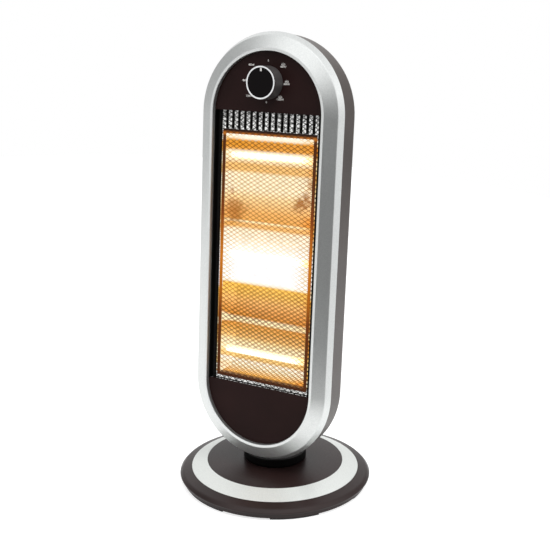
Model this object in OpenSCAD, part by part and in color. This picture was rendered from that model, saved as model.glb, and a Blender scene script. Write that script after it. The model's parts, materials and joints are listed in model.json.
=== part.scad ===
// Free-standing halogen heater: a long body with round ends on a round base that swings it from side to side.
// Millimetres. Z is up, the front faces -Y, and the origin is the middle of the base on the floor.
// The body's pieces are drawn upright in module lean(), which tips them back.

/* [Base] */
// Outer radius of the base's rim
base_r = 145; // [140:1:152]
// Height of the rim's widest edge
rim_z = 12; // [11:0.5:14]
// Outer radius of the silver trim ring
trim_r = 126.7; // [122:0.1:130]
// Height of the trim ring's outer edge
trim_z = 21.4; // [20:0.1:23]
// Inner radius of the silver trim ring
dome_r = 103; // [99:1:106]
// Height of the trim ring's inner edge
dome_edge_z = 30.7; // [30:0.1:32]
// Height of the flat middle of the base cover
dome_z = 34; // [33.5:0.1:36]
// Wall of the base cover
cover_wall = 2.6; // [2:0.1:3]
// Thickness of the trim ring
trim_t = 1.6; // [1.2:0.1:2]
// Thickness of the floor plate
floor_t = 2.5; // [2:0.1:3]
// Width of the gap between the rim and the floor plate's skirt
skirt_gap = 4.6; // [4:0.1:6]
// Height of the rubber pads
pad_h = 3; // [2.6:0.1:4]
// Width of a rubber pad across the radius
pad_w = 10; // [6:1:14]
// Angle that one pad covers
pad_deg = 30; // [20:1:40]
// Direction of the first pad's middle, from +X
pad_phase = -48; // [-60:1:-30]
// Radius of the circle that the base screws stand on
base_screw_ring = 95; // [92:1:97]
// Radius of the cord's bore in its gland
cord_bore_r = 3.6; // [3:0.1:4]
// Height of the cord gland's middle
gland_z = 9.5; // [9:0.1:10.5]

/* [Tip-over switch] */
// Distance of the plunger in front of the pivot
plunger_y = 78; // [70:1:84]
// Radius of the plunger's stem
plunger_r = 3.5; // [3:0.1:4]
// Radius of the plunger's foot
plunger_foot_r = 6; // [5:0.1:7]
// How far the plunger drops when the heater is lifted
plunger_drop = 4; // [3:0.5:4]

/* [Swing drive] */
// Outer radius of the turntable
turn_r = 47.5; // [45:0.5:50]
// Height of the seam between the turntable and the body's foot
turn_top_z = 48.4; // [46:0.1:48.6]
// Thickness of the washer that the turntable runs on
washer_t = 1; // [0.8:0.1:1.5]
// Outer radius of the pivot spigot
spigot_r = 18; // [17:0.5:20]
// Radius of the hole for the leads through the spigot
lead_hole_r = 13; // [10:0.5:13.5]
// Distance between the pivot and the motor's output shaft
crank_y = 32; // [30:1:34]
// Distance between the output shaft and the crank pin
crank_throw = 16; // [14:0.5:17]
// Radius of the motor
motor_r = 25; // [23:1:26]
// Height of the motor
motor_h = 14.5; // [12:0.5:15]
// Side play of the crank pin in the arm's slot
pin_play = 1.5; // [1.4:0.1:1.8]

/* [Body] */
// Angle that the body leans back
lean_deg = 3.9; // [0:0.1:5]
// Drop of the bezel's lowest edge below the turntable's top, before the body leans back
body_drop = 1.8; // [1.7:0.1:2.2]
// Half the distance between the centres of the two round ends
arc_half = 196.5; // [180:0.5:215]
// Half width at the seam between the bezel and the rear shell
frame_w = 112.9; // [112:0.1:113.4]
// Depth of that seam, from the pivot's plane
seam_y = -45.2; // [-46:0.1:-45]
// Half width where the bezel's bevel ends
bevel_w = 108; // [106:0.1:109]
// Depth where the bezel's bevel ends
bevel_y = -55; // [-56:0.1:-54]
// Width of the flat of the bezel's front lip
lip_flat = 4; // [3:0.1:5]
// Depth of the bezel's front lip
lip_y = -63.7; // [-66:0.1:-63]
// Half width of the window inside the lip
window_w = 86.4; // [84:0.1:88]
// Wall of the bezel
frame_wall = 2.4; // [2:0.1:2.6]
// Step from the bezel in to the rear shell
shell_step = 1.3; // [0.8:0.1:1.6]
// Wall of the rear shell
shell_wall = 2.5; // [2:0.1:3]
// Depth of the flat back
back_y = 44; // [42:0.5:50]
// Half width of the back, at the middle of its cut corner
back_w = 78.5; // [76:0.5:80]
// Depth where the rear shell's sides turn inwards
side_y = -8.5; // [-12:0.5:-4]
// How much the rear shell's sides narrow up to there
side_taper = 1.3; // [0.5:0.1:2]
// Size of the cut along the edge of the back
back_cut = 5.5; // [4:0.5:7]

/* [Panels and window] */
// Depth of the panels' front faces
panel_y = -57.3; // [-58:0.1:-57]
// Thickness of the panels
panel_t = 2.5; // [2:0.1:2.8]
// Height of the control panel's lower edge above the upper round end's centre
upper_panel_rise = 3; // [2:0.1:5]
// Drop of the lower panel's upper edge below the lower round end's centre
lower_panel_drop = 1.6; // [1:0.1:4]
// Thickness of the guard mesh
mesh_t = 0.8; // [0.6:0.1:1]
// Gap at each side between the window's edge and the guard mesh
mesh_side_gap = 4.6; // [4.4:0.1:5.5]
// Openings of the guard mesh in one row
mesh_cols = 10; // [6:1:10]
// Rows of openings in the guard mesh
mesh_rows = 29; // [20:1:30]
// Width of the mesh's strands
strand_w = 1.3; // [1:0.1:2]
// Width of the window liner's ledge at each side
ledge_side = 9.1; // [8:0.1:10]
// Thickness of the ledge
ledge_t = 1.2; // [1:0.1:1.5]

/* [Lamps and reflector] */
// Distance from the ledge in to the lamp opening at each side
lamp_open_side = 6.2; // [5:0.1:7]
// Distance from the control panel's edge down to the lamp opening
lamp_open_drop = 33; // [31:0.1:35]
// Distance from the lower panel's edge up to the lamp opening
lamp_open_rise = 10.1; // [9:0.1:11]
// Height of the browned strip above the lamp opening
surround_top_h = 6.5; // [4:0.1:7]
// Width of the browned strip at the sides and below
surround_w = 4.5; // [3:0.1:5]
// Thickness of the reflector's sheet
sheet_t = 0.8; // [0.6:0.1:1]
// Distance between lamps
lamp_pitch = 145.2; // [144:0.1:146]
// Depth of the lamps' axes
lamp_y = -30; // [-31:0.5:-29]
// Outer radius of a quartz tube
tube_r = 5; // [4:0.1:5.2]
// Wall of a quartz tube
tube_wall = 1; // [0.8:0.1:1.5]
// Length of a quartz tube past each side of the lamp opening
tube_past = 13.9; // [12:0.1:16]
// Length of an end cap
cap_len = 16.5; // [14:0.5:20]
// How far an end cap reaches over its tube
cap_grip = 4; // [3:0.5:6]
// Side of a square ceramic end cap
cap_side = 14; // [13:0.5:15]
// Depth of the ridges between the troughs
ridge_y = -30; // [-34:0.5:-28]
// Depth of the troughs' flat backs
trough_y = -9; // [-12:0.5:-8]
// Height of the upper ridge above the middle lamp
upper_ridge_rise = 51.8; // [45:0.1:60]
// Drop of the lower ridge below the middle lamp
lower_ridge_drop = 96.2; // [90:0.1:105]
// Number of louvre slots
louvres = 15; // [11:2:15]
// Distance between louvre slots
louvre_pitch = 9.95; // [9:0.05:10]
// Width of a louvre slot
louvre_w = 3.95; // [3:0.05:3.95]
// Height of the louvre slots' lower end above the lamp opening
louvre_rise = 7; // [6:0.5:14]

/* [Knob] */
// Height of the knob's axis above the upper round end's centre
knob_rise = 43.5; // [38:0.5:48]
// Radius of the knob at the panel
knob_r = 22.8; // [21:0.1:24]
// Radius of the knob at its front
knob_front_r = 22.3; // [20.5:0.1:22.8]
// Depth of the knob's front
knob_y = -80; // [-82:0.5:-78]
// Width of the bright ring on the knob's front
knob_ring_w = 2; // [1.5:0.1:2.5]
// Gap between the knob and the panel
knob_gap = 0.8; // [0.5:0.1:1.5]
// Radius of the switch's shaft
shaft_r = 3; // [2.5:0.1:3.2]

/* [Back] */
// Half length of a vent slot
vent_half = 50; // [40:1:55]
// Height of a vent slot
vent_h = 2.6; // [2:0.1:3]
// Distance between vent slots
vent_pitch = 7; // [6:0.5:9]
// Slots in each of the two rows of vents
vents = 10; // [6:1:10]
// Height of the grip pocket's middle above the upper round end's centre
grip_rise = 34.5; // [28:0.5:38]
// Half width of the grip pocket's opening
grip_half = 45; // [40:1:46]
// Height of the grip pocket's opening
grip_h = 30; // [26:1:32]
// Depth of the grip pocket
grip_depth = 27; // [22:1:30]

/* [Fastenings] */
// Radius of a screw's shank
screw_r = 1.5; // [1.3:0.1:1.6]
// Radius of a screw's head
screw_head_r = 2.9; // [2.6:0.1:3]
// Height of a screw's head
screw_head_h = 2; // [1.6:0.1:2.1]

/* [Fits] */
// Radial clearance of a running fit
run_fit = 0.05; // [0.02:0.01:0.1]
// Gap between pieces that are fitted together
fit_gap = 0.2; // [0.1:0.05:0.3]
// Gap between a moving piece and its stop
stop_gap = 0.3; // [0.2:0.05:0.4]

/* [Hidden] */
$fn = 96;
lamp_names = ["top", "middle", "bottom"];
side_names = ["left", "right"];
side_signs = [-1, 1];

// Lengthening of a cut, so that it runs past the faces that it opens
over = 1;
// Steps in each rounded corner of an outline
corner_steps = 6;
// Height that the body's lean turns about
lean_z = 50;
// Centre of the lower and of the upper round end
low_z = turn_top_z + frame_w - body_drop;
high_z = low_z + 2 * arc_half;

// Heights of the stack in the base, from the floor up
floor_z = pad_h;
floor_top_z = floor_z + floor_t;
motor_top_z = floor_top_z + motor_h;
crank_z = motor_top_z + 0.5;
crank_t = 3;
arm_z = crank_z + crank_t + 0.8;
arm_t = 2.3;
spigot_end_z = arm_z + arm_t;
sleeve_end_z = spigot_end_z + stop_gap;
turn_z = dome_z + washer_t;
skirt_r = base_r - skirt_gap;
skirt_wall = 2.4;
pad_inset = 2;
rim_lip_z = rim_z - 1.5;
rim_shoulder_w = 4.4;
rim_shoulder_h = 4.8;
sleeve_r = spigot_r + 4;
turn_wall = 3;
turn_floor = 2.5;
turn_screw_ring = 34;
foot_top_z = low_z - 85.5;
boss_r = 5;
base_boss_top = dome_edge_z - 0.1;
base_screw_shank = 12;
turn_screw_bite = 4;
head_recess = 0.3;

// Cord gland through the rim at the back
gland_r = cord_bore_r + 1.6;
gland_lip_r = gland_r + 1.2;
gland_lip_t = 2.2;
gland_lip_y = base_r - 0.6 - gland_lip_t;
gland_inner_y = skirt_r - 10;

// Tip-over switch, from the floor plate up
tip_w = 22;
tip_d = 18;
tip_roof_t = 2;
tip_floor_t = 2;
collar_r = plunger_r + 1.5;
collar_t = 1.5;
collar_z = floor_top_z + tip_floor_t + plunger_drop + 0.5;
spring_h = 6.5;
tip_roof_z = collar_z + collar_t + spring_h;

// Swing drive
motor_y = crank_y + 12;
motor_ear = motor_r + 4;
motor_ear_r = 4;
motor_ear_t = 1;
motor_floor = 5;
output_r = 3.5;
crank_hub_r = 6;
crank_w = 8;
pin_r = 2.5;
pin_h = arm_z + arm_t - crank_z + 1.3;
slot_half = pin_r + pin_play;
slot_start = spigot_r + 7;
slot_end = crank_y + crank_throw + pin_r + 0.5;
arm_side = 4;
arm_rim_r = spigot_r + 5.5;
arm_screw_r = 1.25;
arm_head_r = 2.2;
arm_head_h = 1.4;
arm_screw_len = 9;
washer_r = turn_r - 9;
washer_w = 5.5;

// Depths of the layers in the window, from the panels back
panel_back_y = panel_y + panel_t;
mesh_back_y = -51.5;
ledge_back_y = mesh_back_y + ledge_t;
flange_back_y = ledge_back_y + sheet_t;
shield_y = -1;
frame_back_y = ledge_back_y - 0.1;

// Edges of the panels and of the openings between them
upper_panel_z = high_z + upper_panel_rise;
lower_panel_z = low_z - lower_panel_drop;
lamp_open_top = upper_panel_z - lamp_open_drop;
lamp_open_bottom = lower_panel_z + lamp_open_rise;
louvre_bottom = lamp_open_top + louvre_rise;
louvre_top = upper_panel_z + 2;
knob_z = high_z + knob_rise;
grip_z = high_z + grip_rise;
lamp_mid_z = (lamp_open_top + lamp_open_bottom) / 2;
upper_ridge_z = lamp_mid_z + upper_ridge_rise;
lower_ridge_z = lamp_mid_z - lower_ridge_drop;
ledge_w = window_w - ledge_side;
mesh_w = window_w - mesh_side_gap;
lamp_open_w = ledge_w - lamp_open_side;
lip_w = window_w + lip_flat;

// Outline of the bezel from its window edge round to the seam, and the radii of its corners
frame_path = [[window_w, frame_back_y], [window_w, lip_y], [lip_w, lip_y], [bevel_w, bevel_y], [frame_w, seam_y]];
frame_radii = [0.8, 1.6, 3.5];

// Outline of the rear shell from the seam to the middle of the back
shell_w = frame_w - shell_step;
shell_path = [[shell_w, seam_y], [shell_w - side_taper, side_y], [back_w + back_cut, back_y - 2 * back_cut - over],
    [back_w - back_cut, back_y], [0, back_y]];
shell_radii = [17, 24, 14];

// Sizes in the window
shield_t = 1;
bracket_t = 1;
frame_ledge_w = 4;
ledge_outer = window_w - frame_ledge_w - 2.4;
mesh_top = upper_panel_z + 3.5;
mesh_bottom = lower_panel_z - 4.4;
mesh_border = 3;
liner_wall = 1.5;
liner_bar = 3.5;
flange_w = ledge_w + 4.5;
flange_top = upper_panel_z + 17.5;
flange_bottom = lower_panel_z - 18.9;
flange_screw_w = 60;
flange_screw_inset = 5;
bracket_top = lamp_open_top + 17.5;
bracket_bottom = lamp_open_bottom - 18;
tube_half = lamp_open_w + tube_past;
cap_w = tube_half - cap_grip;
frame_screw_w = window_w + 11.6;
frame_screw_arc = 50;
frame_screw_z = 96;
frame_boss_y = lip_y + 6.2;
frame_screw_bite = 8;
tube_screw_floor = 3;
tube_clear = 0.6;
panel_rib_t = 2;
panel_rib_w = window_w - 5;
flange_screw_len = 4.6;
shield_screw_w = tube_half - 7;
shield_screw_zs = [bracket_bottom + 25, bracket_top - 25];
shield_screw_len = 6;
bracket_lip = 4;
tube_clear_r = tube_r + 1;
filament_r = 1.6;
wire_r = 0.5;
cold_end = 8;
cap_pin_hole_r = 2;
cap_pin_hole = 4;
lamp_zs = [lamp_mid_z + lamp_pitch, lamp_mid_z, lamp_mid_z - lamp_pitch];

// Vents and grip pocket in the back
vent_margin = 30;
back_cut_depth = 6;
grip_wall = 2;
grip_rim_w = 4;
grip_rim_t = 1.5;

// Thermal cutout on the heat shield
cutout_r = 8;
cutout_h = 6;
cutout_strap = [28, 1, 6];
cutout_tab = [0.8, 9, 6];
cutout_tab_x = 4;
cutout_z = bracket_top - 60;

// Terminal block behind the lower panel
terminal_size = [60, 14, 17];
terminal_z = flange_bottom - 31;
terminal_ways = 5;
terminal_pitch = 12;
terminal_hole_r = 2.4;
terminal_hole = 9;

// Depths of the knob and of the switch behind it
knob_back_y = panel_y - knob_gap;
knob_wall = 1.8;
knob_ring_t = 2.2;
knob_face_y = knob_y + 0.8;
switch_side = 32;
switch_depth = 22;
bushing_r = 4.5;
nut_t = 2.2;
nut_r = 6.5;
bushing_end_y = panel_y - nut_t - 0.6;
shaft_end_y = panel_back_y + switch_depth - 4;
knob_roof = 2;
shaft_cover = 1.5;
knob_hub_r = shaft_r + 2.5;
pointer_w = 2.6;
pointer_len = 4.6;
pointer_inset = 0.5;
pointer_t = 0.6;

// ---- Outline functions ----

function unit(v) = v / norm(v);
function left_normals(p) = [for (i = [0:len(p) - 2]) let (d = unit(p[i + 1] - p[i])) [-d[1], d[0]]];

// Which way an outline turns from one normal to the next: 1 for left, -1 for right
function turn(a, b) = sign(a[0] * b[1] - a[1] * b[0]);

// Points of an open outline, moved left by t, with its corners rounded
function rounded_path(p, radii, t) =
    let (m = left_normals(p), last = len(p) - 1)
    concat(
        [p[0] + m[0] * t],
        [for (i = [1:last - 1])
            let (s = (m[i - 1] + m[i]) / (1 + m[i - 1] * m[i]), a = radii[i - 1] * turn(m[i - 1], m[i]))
            each a * (a - t) > 0
                ? [for (j = [0:corner_steps])
                    let (n = unit(m[i - 1] * (1 - j / corner_steps) + m[i] * j / corner_steps))
                    p[i] + s * a - n * (a - t)]
                : [p[i] + s * t]],
        [p[last] + m[last - 1] * t]
    );
function reversed(p) = [for (i = [len(p) - 1:-1:0]) p[i]];

// Height of the base cover's dome at distance r from the pivot, an arc that starts level
dome_flat_r = turn_r + 4.5;
dome_arc_r = (pow(dome_r - dome_flat_r, 2) + pow(dome_z - dome_edge_z, 2)) / (2 * (dome_z - dome_edge_z));
function dome_height(r) = dome_z - dome_arc_r + sqrt(pow(dome_arc_r, 2) - pow(r - dome_flat_r, 2));
dome_steps = 8;
dome_line = [for (i = [0:dome_steps])
    let (r = dome_flat_r + (dome_r - dome_flat_r) * i / dome_steps) [r, dome_height(r)]];

// Rim of the base cover from the trim ring's edge out and under
rim_line = rounded_path([[trim_r + fit_gap, trim_z - 0.2], [base_r - rim_shoulder_w, rim_z + rim_shoulder_h],
    [base_r, rim_z], [base_r - 0.5, rim_lip_z]], [9, 1.6], 0);

// ---- Shared modules ----

// Tips the upright body back
module lean() {
    translate([0, 0, lean_z]) rotate([-lean_deg, 0, 0]) translate([0, 0, -lean_z]) children();
}

// Sweeps a section, drawn as distance out and depth, round the body's long outline with round ends
module loop_sweep() {
    translate([0, 0, low_z]) rotate([-90, 0, 0]) rotate_extrude(angle = 180) children();
    translate([0, 0, high_z]) rotate([-90, 0, 0]) rotate([0, 0, 180]) rotate_extrude(angle = 180) children();
    for (s = [0, 1]) mirror([s, 0, 0]) translate([0, 0, low_z]) linear_extrude(2 * arc_half) children();
}

// Flat long outline with round ends, drawn in width and height
module long_outline(w) {
    translate([0, low_z]) circle(w);
    translate([0, high_z]) circle(w);
    translate([-w, low_z]) square([2 * w, 2 * arc_half]);
}

// Extrudes a width-and-height outline between two depths
module plate(y0, y1) {
    translate([0, y1, 0]) rotate([90, 0, 0]) linear_extrude(y1 - y0) children();
}

// Cylinder along the depth at a place in width and height
module rod(x, z, y0, y1, r) {
    translate([x, y1, z]) rotate([90, 0, 0]) cylinder(r = r, h = y1 - y0);
}

// Solid filled outline of the rear shell, inset by t
module shell_block(t) {
    loop_sweep() polygon(concat([[0, seam_y]], rounded_path(shell_path, shell_radii, t)));
}

// Cavity of the rear shell, open at the seam
module shell_cavity() {
    shell_block(shell_wall);
    plate(seam_y - over, seam_y) long_outline(shell_w - shell_wall);
}

// Solid filled outline of the bezel, grown by g
module frame_block(g) {
    loop_sweep() polygon(concat([[0, seam_y], [0, lip_y - g]], rounded_path(
        [frame_path[1], frame_path[2], frame_path[3], frame_path[4]], [frame_radii[1], frame_radii[2]], -g),
        [[frame_w + g, seam_y]]));
}

// Places its children at each of the four screws that join turntable and body
module at_turn_screws() {
    for (a = [45:90:315]) rotate(a) translate([turn_screw_ring, 0, 0]) children();
}

// Width and height of the screws that join bezel and rear shell: one side's, the top's, the bottom's and all eight
frame_side_spots = [for (t = [-1, 1]) [frame_screw_w, low_z + arc_half + t * frame_screw_z]];
frame_top_spots = [for (s = side_signs)
    [s * frame_screw_w * cos(frame_screw_arc), high_z + frame_screw_w * sin(frame_screw_arc)]];
frame_bottom_spots = [for (q = frame_top_spots) [q[0], low_z + high_z - q[1]]];
frame_screw_spots = concat(frame_side_spots, [for (q = frame_side_spots) [-q[0], q[1]]],
    frame_top_spots, frame_bottom_spots);

// Screw with its head's underside at the origin and its shank along -Z
module screw(shank) {
    translate([0, 0, -shank]) cylinder(r = screw_r, h = shank);
    difference() {
        cylinder(r = screw_head_r, h = screw_head_h);
        for (a = [0, 90]) rotate(a)
            translate([-screw_head_r * 0.6, -0.35, screw_head_h - 0.9]) cube([screw_head_r * 1.2, 0.7, over]);
    }
}

// ---- Base ----

module base_bottom() color([0.13, 0.11, 0.11]) {
    difference() {
        union() {
            translate([0, 0, floor_z]) cylinder(r = skirt_r, h = floor_t);
            translate([0, 0, floor_z]) rotate_extrude()
                translate([skirt_r - skirt_wall, 0]) square([skirt_wall, rim_lip_z - floor_z - fit_gap]);
        }
        translate([0, -plunger_y, floor_z - over]) cylinder(r = plunger_r + run_fit, h = floor_t + 2 * over);
        for (a = [0:60:300]) rotate(a)
            translate([base_screw_ring, 0, floor_z - over]) cylinder(r = screw_r + fit_gap, h = floor_t + 2 * over);
        at_motor_screws() translate([0, 0, floor_z - over])
            cylinder(r = screw_r + run_fit, h = floor_t + 2 * over);
        gland_hole();
    }
}

// Six rubber pads under the floor plate
module foot_pads() color([0.06, 0.06, 0.06]) {
    for (a = [0:60:300]) rotate(pad_phase - pad_deg / 2 - a) rotate_extrude(angle = pad_deg)
        translate([skirt_r - pad_inset - pad_w, 0]) square([pad_w, pad_h]);
}

module base_cover() color([0.17, 0.14, 0.14]) {
    difference() {
        union() {
            rotate_extrude() polygon(concat(
                [[spigot_r, sleeve_end_z], [spigot_r, dome_z]],
                dome_line,
                [[dome_r, dome_edge_z - trim_t], [trim_r + fit_gap, trim_z - 0.1 - trim_t]],
                rim_line,
                [[base_r - cover_wall, rim_lip_z], [base_r - cover_wall - 0.4, rim_z + 0.8],
                    [base_r - 6, rim_z + 2.9], [trim_r, trim_z - trim_t - cover_wall],
                    [dome_r - 1, dome_edge_z - trim_t - cover_wall + 0.4]],
                reversed([for (q = dome_line) [min(q[0], dome_r - 2), q[1] - cover_wall]]),
                [[sleeve_r, dome_z - cover_wall], [sleeve_r, sleeve_end_z]]));
            for (a = [0:60:300]) rotate(a) translate([base_screw_ring, 0, floor_top_z])
                cylinder(r = boss_r, h = base_boss_top - floor_top_z);
        }
        for (a = [0:60:300]) rotate(a) translate([base_screw_ring, 0, floor_top_z - over])
            cylinder(r = screw_r + run_fit, h = base_screw_shank + over);
        gland_hole();
    }
}

module trim_ring() color([0.86, 0.86, 0.87]) {
    rotate_extrude() polygon([
        [dome_r + fit_gap, dome_edge_z - trim_t], [dome_r + fit_gap, dome_edge_z],
        [trim_r, trim_z], [trim_r, trim_z - trim_t]]);
}

module base_screws() color([0.7, 0.7, 0.72]) {
    for (a = [0:60:300]) rotate(a) translate([base_screw_ring, 0, floor_z]) rotate([180, 0, 0]) screw(base_screw_shank);
}

// Room for the cord gland through the rim
module gland_hole() {
    rod(0, gland_z, gland_inner_y - 6, base_r + over, gland_r + fit_gap / 2);
    rod(0, gland_z, gland_lip_y - fit_gap, base_r + over, gland_lip_r + fit_gap);
}

module cord_gland() color([0.05, 0.05, 0.05]) {
    difference() {
        union() {
            rod(0, gland_z, gland_inner_y, gland_lip_y + gland_lip_t, gland_r);
            rod(0, gland_z, gland_lip_y, gland_lip_y + gland_lip_t, gland_lip_r);
        }
        rod(0, gland_z, gland_inner_y - over, gland_lip_y + gland_lip_t + over, cord_bore_r);
    }
}

// ---- Tip-over switch ----

module tip_switch_housing() color([0.9, 0.9, 0.88]) {
    translate([0, -plunger_y, 0]) difference() {
        translate([-tip_w / 2, -tip_d / 2, floor_top_z]) cube([tip_w, tip_d, tip_roof_z + tip_roof_t - floor_top_z]);
        translate([0, 0, floor_top_z - over]) cylinder(r = plunger_r + run_fit, h = tip_floor_t + 2 * over);
        translate([0, 0, floor_top_z + tip_floor_t])
            cylinder(r = collar_r + 0.5, h = tip_roof_z - floor_top_z - tip_floor_t);
    }
}

module tip_switch_plunger() color([0.85, 0.2, 0.15]) {
    translate([0, -plunger_y, 0]) {
        cylinder(r = plunger_foot_r, h = pad_h - 0.5);
        cylinder(r = plunger_r, h = collar_z + collar_t);
        translate([0, 0, collar_z]) cylinder(r = collar_r, h = collar_t);
    }
}

module tip_switch_spring() color([0.75, 0.75, 0.77]) {
    translate([0, -plunger_y, collar_z + collar_t]) difference() {
        cylinder(r = plunger_r + 0.5, h = tip_roof_z - collar_z - collar_t);
        translate([0, 0, -over]) cylinder(r = plunger_r - 0.3, h = tip_roof_z);
    }
}

// ---- Swing drive ----

module at_motor_screws() {
    for (s = side_signs) translate([s * motor_ear, motor_y, 0]) children();
}

module drive_motor() color([0.75, 0.76, 0.78]) {
    difference() {
        union() {
            translate([0, motor_y, floor_top_z]) cylinder(r = motor_r, h = motor_h);
            translate([-motor_ear, motor_y - motor_ear_r, floor_top_z]) cube([2 * motor_ear, 2 * motor_ear_r, motor_ear_t]);
            at_motor_screws() translate([0, 0, floor_top_z]) cylinder(r = motor_ear_r, h = motor_ear_t);
        }
        translate([0, crank_y, floor_top_z + motor_floor]) cylinder(r = output_r + run_fit, h = motor_h);
        at_motor_screws() translate([0, 0, floor_top_z - over])
            cylinder(r = screw_r + run_fit, h = motor_ear_t + 2 * over);
    }
}

module motor_screws() color([0.7, 0.7, 0.72]) {
    at_motor_screws() translate([0, 0, floor_top_z + motor_ear_t]) screw(motor_ear_t + floor_t - fit_gap);
}

module crank_shaft() color([0.8, 0.8, 0.82]) {
    z0 = floor_top_z + motor_floor + stop_gap;
    translate([0, crank_y, z0]) cylinder(r = output_r, h = crank_z + crank_t - z0);
}

module crank() color([0.92, 0.92, 0.9]) {
    difference() {
        union() {
            translate([0, crank_y, crank_z]) cylinder(r = crank_hub_r, h = crank_t);
            translate([-crank_w / 2, crank_y, crank_z]) cube([crank_w, crank_throw, crank_t]);
            translate([0, crank_y + crank_throw, crank_z]) cylinder(r = crank_w / 2, h = crank_t);
            translate([0, crank_y + crank_throw, crank_z]) cylinder(r = pin_r, h = pin_h);
        }
        translate([0, crank_y, crank_z - over]) cylinder(r = output_r + run_fit, h = crank_t + 2 * over);
    }
}

module thrust_washer() color([0.93, 0.92, 0.88]) {
    rotate_extrude() translate([washer_r, dome_z]) square([washer_w, washer_t]);
}

module turntable() color([0.14, 0.12, 0.12]) {
    r_in = lead_hole_r;
    r_run = spigot_r - run_fit;
    difference() {
        union() {
            rotate_extrude() polygon(concat(
                [[r_in, spigot_end_z], [r_run, spigot_end_z]],
                rounded_path([[r_run, turn_z], [turn_r, turn_z], [turn_r, turn_top_z]], [2.5], 0),
                [[turn_r - turn_wall, turn_top_z], [turn_r - turn_wall, turn_z + turn_floor],
                    [spigot_r + 2, turn_z + turn_floor], [spigot_r + 2, turn_top_z], [r_in, turn_top_z]]));
            at_turn_screws() translate([0, 0, turn_z]) cylinder(r = boss_r, h = turn_top_z - turn_z);
        }
        at_turn_screws() {
            translate([0, 0, turn_z - over]) cylinder(r = screw_head_r + fit_gap, h = over + screw_head_h + head_recess);
            translate([0, 0, turn_z]) cylinder(r = screw_r + fit_gap, h = turn_top_z);
        }
        at_arm_screws() translate([0, 0, arm_z]) cylinder(r = arm_screw_r + run_fit, h = arm_screw_len);
    }
}

module at_arm_screws() {
    for (a = [30, 150, 270]) rotate(a) translate([(lead_hole_r + spigot_r) / 2, 0, 0]) children();
}

module swing_arm() color([0.78, 0.79, 0.8]) {
    difference() {
        union() {
            translate([0, 0, arm_z]) cylinder(r = arm_rim_r, h = arm_t);
            translate([-slot_half - arm_side, 0, arm_z]) cube([2 * (slot_half + arm_side), slot_end + arm_side, arm_t]);
        }
        translate([0, 0, arm_z - over]) cylinder(r = lead_hole_r, h = arm_t + 2 * over);
        translate([-slot_half, slot_start, arm_z - over]) cube([2 * slot_half, slot_end - slot_start, arm_t + 2 * over]);
        at_arm_screws() translate([0, 0, arm_z - over]) cylinder(r = arm_screw_r + run_fit, h = arm_t + 2 * over);
    }
}

module arm_screws() color([0.7, 0.7, 0.72]) {
    at_arm_screws() translate([0, 0, arm_z - arm_head_h]) {
        cylinder(r = arm_head_r, h = arm_head_h);
        cylinder(r = arm_screw_r, h = arm_screw_len);
    }
}

module turntable_screws() color([0.7, 0.7, 0.72]) {
    at_turn_screws() translate([0, 0, turn_z + head_recess + screw_head_h]) rotate([180, 0, 0])
        screw(turn_top_z - turn_z + turn_screw_bite);
}

// ---- Body: casing ----

module rear_shell() color([0.34, 0.32, 0.31]) {
    difference() {
        union() {
            lean() difference() {
                shell_block(0);
                difference() {
                    shell_cavity();
                    for (q = frame_screw_spots) rod(q[0], q[1], seam_y, back_y, boss_r);
                }
            }
            difference() {
                foot();
                lean() {
                    shell_block(shell_wall / 2);
                    frame_block(stop_gap);
                }
            }
            at_turn_screws() translate([0, 0, turn_top_z]) cylinder(r = boss_r, h = foot_top_z - turn_top_z);
        }
        at_turn_screws() translate([0, 0, turn_top_z - over]) cylinder(r = screw_r + run_fit, h = over + 2 * turn_screw_bite);
        cylinder(r = lead_hole_r + over, h = foot_top_z + over);
        lean() {
            for (q = frame_screw_spots) {
                rod(q[0], q[1], seam_y - over, back_y, screw_r + fit_gap);
                rod(q[0], q[1], seam_y + tube_screw_floor, back_y + over, screw_head_r + tube_clear);
            }
            plate(back_y - back_cut_depth, back_y + over) {
                vent_slots();
                grip_outline(grip_wall + fit_gap);
            }
        }
    }
}

// Round foot of the rear shell, closed at its top
module foot() {
    difference() {
        translate([0, 0, turn_top_z]) cylinder(r = turn_r, h = foot_top_z - turn_top_z);
        translate([0, 0, turn_top_z - over]) cylinder(r = turn_r - turn_wall, h = foot_top_z - turn_top_z - turn_wall + over);
    }
}

// Two rows of vents in the flat back
module vent_slots() {
    for (z0 = [bracket_bottom + vent_margin, bracket_top - vent_margin - vents * vent_pitch], i = [0:vents - 1])
        translate([-vent_half, z0 + i * vent_pitch]) square([2 * vent_half, vent_h]);
}

// Opening of the grip pocket, grown by g
module grip_outline(g) {
    r = grip_h / 2 + g;
    straight = grip_half - grip_h / 2;
    for (s = side_signs) translate([s * straight, grip_z]) circle(r);
    translate([-straight, grip_z - r]) square([2 * straight, 2 * r]);
}

module carry_grip() color([0.1, 0.1, 0.1]) {
    lean() difference() {
        union() {
            plate(back_y - grip_depth - grip_wall, back_y) grip_outline(grip_wall);
            plate(back_y, back_y + grip_rim_t) grip_outline(grip_rim_w);
        }
        plate(back_y - grip_depth, back_y + 2 * over) grip_outline(0);
    }
}

// Section of the bezel as distance out and depth
module frame_section() {
    intersection() {
        polygon(concat(rounded_path(frame_path, frame_radii, 0),
            reversed(rounded_path(frame_path, frame_radii, frame_wall))));
        translate([0, lip_y]) square([frame_w, seam_y - lip_y]);
    }
}

// Screw bosses of the bezel at some of the screw places, joined to its children
module frame_with_bosses(spots) {
    lean() difference() {
        union() {
            children();
            for (q = spots) rod(q[0], q[1], frame_boss_y, seam_y, boss_r - 1);
        }
        for (q = spots) rod(q[0], q[1], seam_y - frame_screw_bite - over, seam_y + over, screw_r + run_fit);
    }
}

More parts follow.
